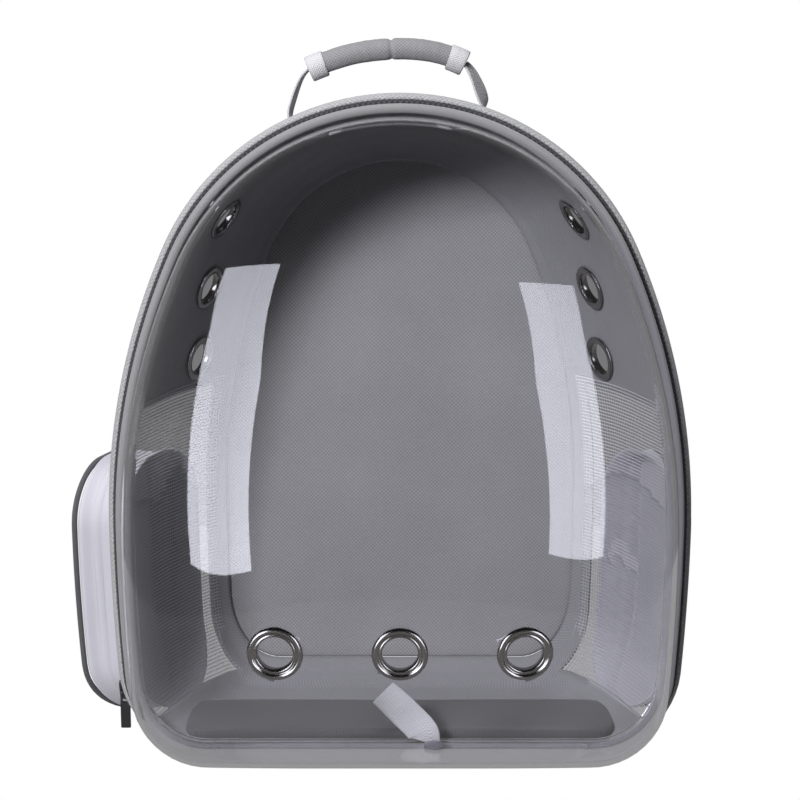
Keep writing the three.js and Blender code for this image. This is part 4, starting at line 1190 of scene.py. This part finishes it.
# Tether tab and stud
# The end of a tether: a short piece of ribbed webbing, sewn to the floor in front of the mat, that
# stands up and leans over. The stud beside it is a round rivet cap of smoky plastic.
STUD = {"side": 0.022, "depth": -0.016}
STUD_EDGE = 0.0004
TAB_WIDTH, TAB_BEDDED = 0.020, 0.0006
tab_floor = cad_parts["tether_tab"].bound_box[0][2] - TAB_BEDDED
TAB_STATIONS = [
    {"side": -0.007, "depth": 0.0082, "rise": 0.0006, "across": (1, 0, 0)},
    {"side": -0.007, "depth": 0.009, "rise": 0.006, "across": (0.98, 0, 0.1)},
    {"side": -0.019, "depth": 0.018, "rise": 0.017, "across": (0.8, 0.25, 0.5)},
    {"side": -0.033, "depth": 0.026, "rise": 0.028, "across": (0.62, 0.6, 0.5)},
]
stations = []
for row in TAB_STATIONS:
    x, y = STUD["side"] + row["side"], RIM_PLANE + STUD["depth"] + row["depth"]
    stations.append((x, y, tab_floor + row["rise"], TAB_WIDTH, *row["across"]))
bm = strap(stations, WEBBING_THICKNESS, count=60, sides=24)
keep(bm, "tether_end", webbing, ["tether_tab"])

# Tinted acrylic, moulded and glossy, with cloudy patches of its tint.
smoky_plastic, tree, shader = new_material(
    "smoky plastic", Base_Color=linear("#54525c"), Roughness=0.25, Coat_Weight=0.5
)
where = add(tree, "ShaderNodeTexCoord")
cloudy = add(
    tree, "ShaderNodeTexNoise", {"Vector": where.outputs["Object"], "Scale": 260.0, "Detail": 3.0}
)
hue = add(
    tree,
    "ShaderNodeMix",
    {0: cloudy.outputs["Fac"], 6: linear("#3f3e46"), 7: linear("#6b6a74")},
    data_type="RGBA",
)
tree.links.new(hue.outputs[2], shader.inputs["Base Color"])
bevelled("tether_stud", "rivet_cap", smoky_plastic, STUD_EDGE)

# Back padding
# Foam under spacer cloth on the wearer's side, sewn round its edge, with a groove down the middle for
# the spine. The photograph hides it, so it is plain.
PAD = {"half_width": 0.096, "low": 0.078, "high": 0.300, "corner": 0.034, "thickness": 0.012}
PAD_FRONT, PAD_ROLL = 0.1366, 0.0055
GROOVE_WIDTH, GROOVE_DEPTH, PAD_SLACK = 0.004, 0.0022, 0.0006

# Polyester spacer net over foam: an open knit with cells 2.2 mm apart, so its bump is deep.
spacer_cloth = cloth("spacer net", "#77777a", "#4e4e51", 0.0022, mottle=0.15, bump=1.0)


def pad_slack(point, face):
    """The groove and the slack of the side that the wearer feels. The other side lies flat."""
    groove = math.exp(-((point[0] / GROOVE_WIDTH) ** 2)) * -GROOVE_DEPTH
    wave = noise.noise(Vector((point[0] * 18, 0, point[2] * 18)))
    return groove + PAD_SLACK * wave if face > 0 else 0.0


plan = rounded(-PAD["half_width"], PAD["half_width"], PAD["low"], PAD["high"], PAD["corner"], 150)
heart = np.full(len(plan), RIM_PLANE + PAD_FRONT + PAD["thickness"] / 2)
edge = np.stack([plan[:, 0], heart, plan[:, 1]], axis=1)
middle = (0, edge[0, 1], (PAD["low"] + PAD["high"]) / 2)
bm = lay_uv(slab(edge[::-1], middle, PAD["thickness"], PAD_ROLL, pad_slack, rows=22), 0, 2)
back_cushion = keep(bm, "back_cushion", spacer_cloth, ["back_pad"])

# Shoulder straps
# Foam straps bound at their edges, with an adjuster and a length of webbing that runs down to the base.
# The photograph hides them, so they are plain.
STRAP = {"top": 0.352, "bottom": 0.132, "width": 0.058, "thickness": 0.009, "webbing": 0.025}
STRAP_LEAN, STRAP_THINNED = 0.12, 0.0004
BUCKLE_LENGTH, BUCKLE_DROP, BUCKLE_EDGE = 0.026, 0.0025, 0.0012
WALL_BACK, LAYER_GAP = 0.1363, 0.0003
pad_back = WALL_BACK + LAYER_GAP + PAD["thickness"]
strap_clear = pad_back + LAYER_GAP + STRAP["thickness"] / 2
sewn_down = WALL_BACK + LAYER_GAP + STRAP["thickness"] / 2
top, bottom = STRAP["top"], STRAP["bottom"]
STRAP_STATIONS = [
    {"side": 0.048, "height": top, "depth": sewn_down},
    {"side": 0.049, "height": top - 0.018, "depth": sewn_down + 0.002},
    {"side": 0.053, "height": top - 0.042, "depth": strap_clear + 0.003},
    {"side": 0.060, "height": top - 0.095, "depth": strap_clear + 0.013},
    {"side": 0.068, "height": top - 0.160, "depth": strap_clear + 0.014},
    {"side": 0.075, "height": bottom + 0.030, "depth": strap_clear + 0.006},
    {"side": 0.079, "height": bottom, "depth": strap_clear + 0.002},
]
buckle_foot = bottom - BUCKLE_LENGTH - BUCKLE_DROP
WEBBING_STATIONS = [
    {"side": 0.080, "height": buckle_foot - 0.0006, "depth": strap_clear + 0.001},
    {"side": 0.080, "height": PAD["low"] + 0.012, "depth": pad_back + 0.0035},
    {"side": 0.090, "height": PAD["low"] - 0.014, "depth": WALL_BACK + 0.006},
    {"side": 0.092, "height": PAD["low"] - 0.028, "depth": WALL_BACK + 0.0014},
    {"side": 0.092, "height": PAD["low"] - 0.042, "depth": WALL_BACK + 0.0011},
]

# Black acetal, moulded in a spark-eroded tool, so it has a fine matt grain.
black_plastic, tree, shader = new_material("moulded acetal", Base_Color=linear("#1a1a1c"), Roughness=0.42)
where = add(tree, "ShaderNodeTexCoord")
grain = add(tree, "ShaderNodeTexNoise", {"Vector": where.outputs["Object"], "Scale": 1400.0, "Detail": 2.0})
raised = add(tree, "ShaderNodeBump", {"Height": grain.outputs["Fac"], "Strength": 0.15, "Distance": 0.0002})
tree.links.new(raised.outputs[0], shader.inputs["Normal"])

for word, sign in (("left", -1), ("right", 1)):
    stations = []
    for row in STRAP_STATIONS:
        at = (sign * row["side"], RIM_PLANE + row["depth"], row["height"])
        stations.append((*at, STRAP["width"], 1, 0, sign * STRAP_LEAN))
    bm = strap(stations, STRAP["thickness"] - STRAP_THINNED, power=5.0, count=90, sides=36)
    shoulder = keep(bm, f"padded_strap_{word}", spacer_cloth, [f"shoulder_strap_{word}"])
    bevelled(f"strap_adjuster_{word}", f"ladder_lock_{word}", black_plastic, BUCKLE_EDGE)
    stations = []
    for row in WEBBING_STATIONS:
        at = (sign * row["side"], RIM_PLANE + row["depth"], row["height"])
        stations.append((*at, STRAP["webbing"], 1, 0, 0))
    bm = strap(stations, WEBBING_THICKNESS, sides=24)
    keep(bm, f"lower_strap_{word}", webbing, [f"strap_webbing_{word}"])
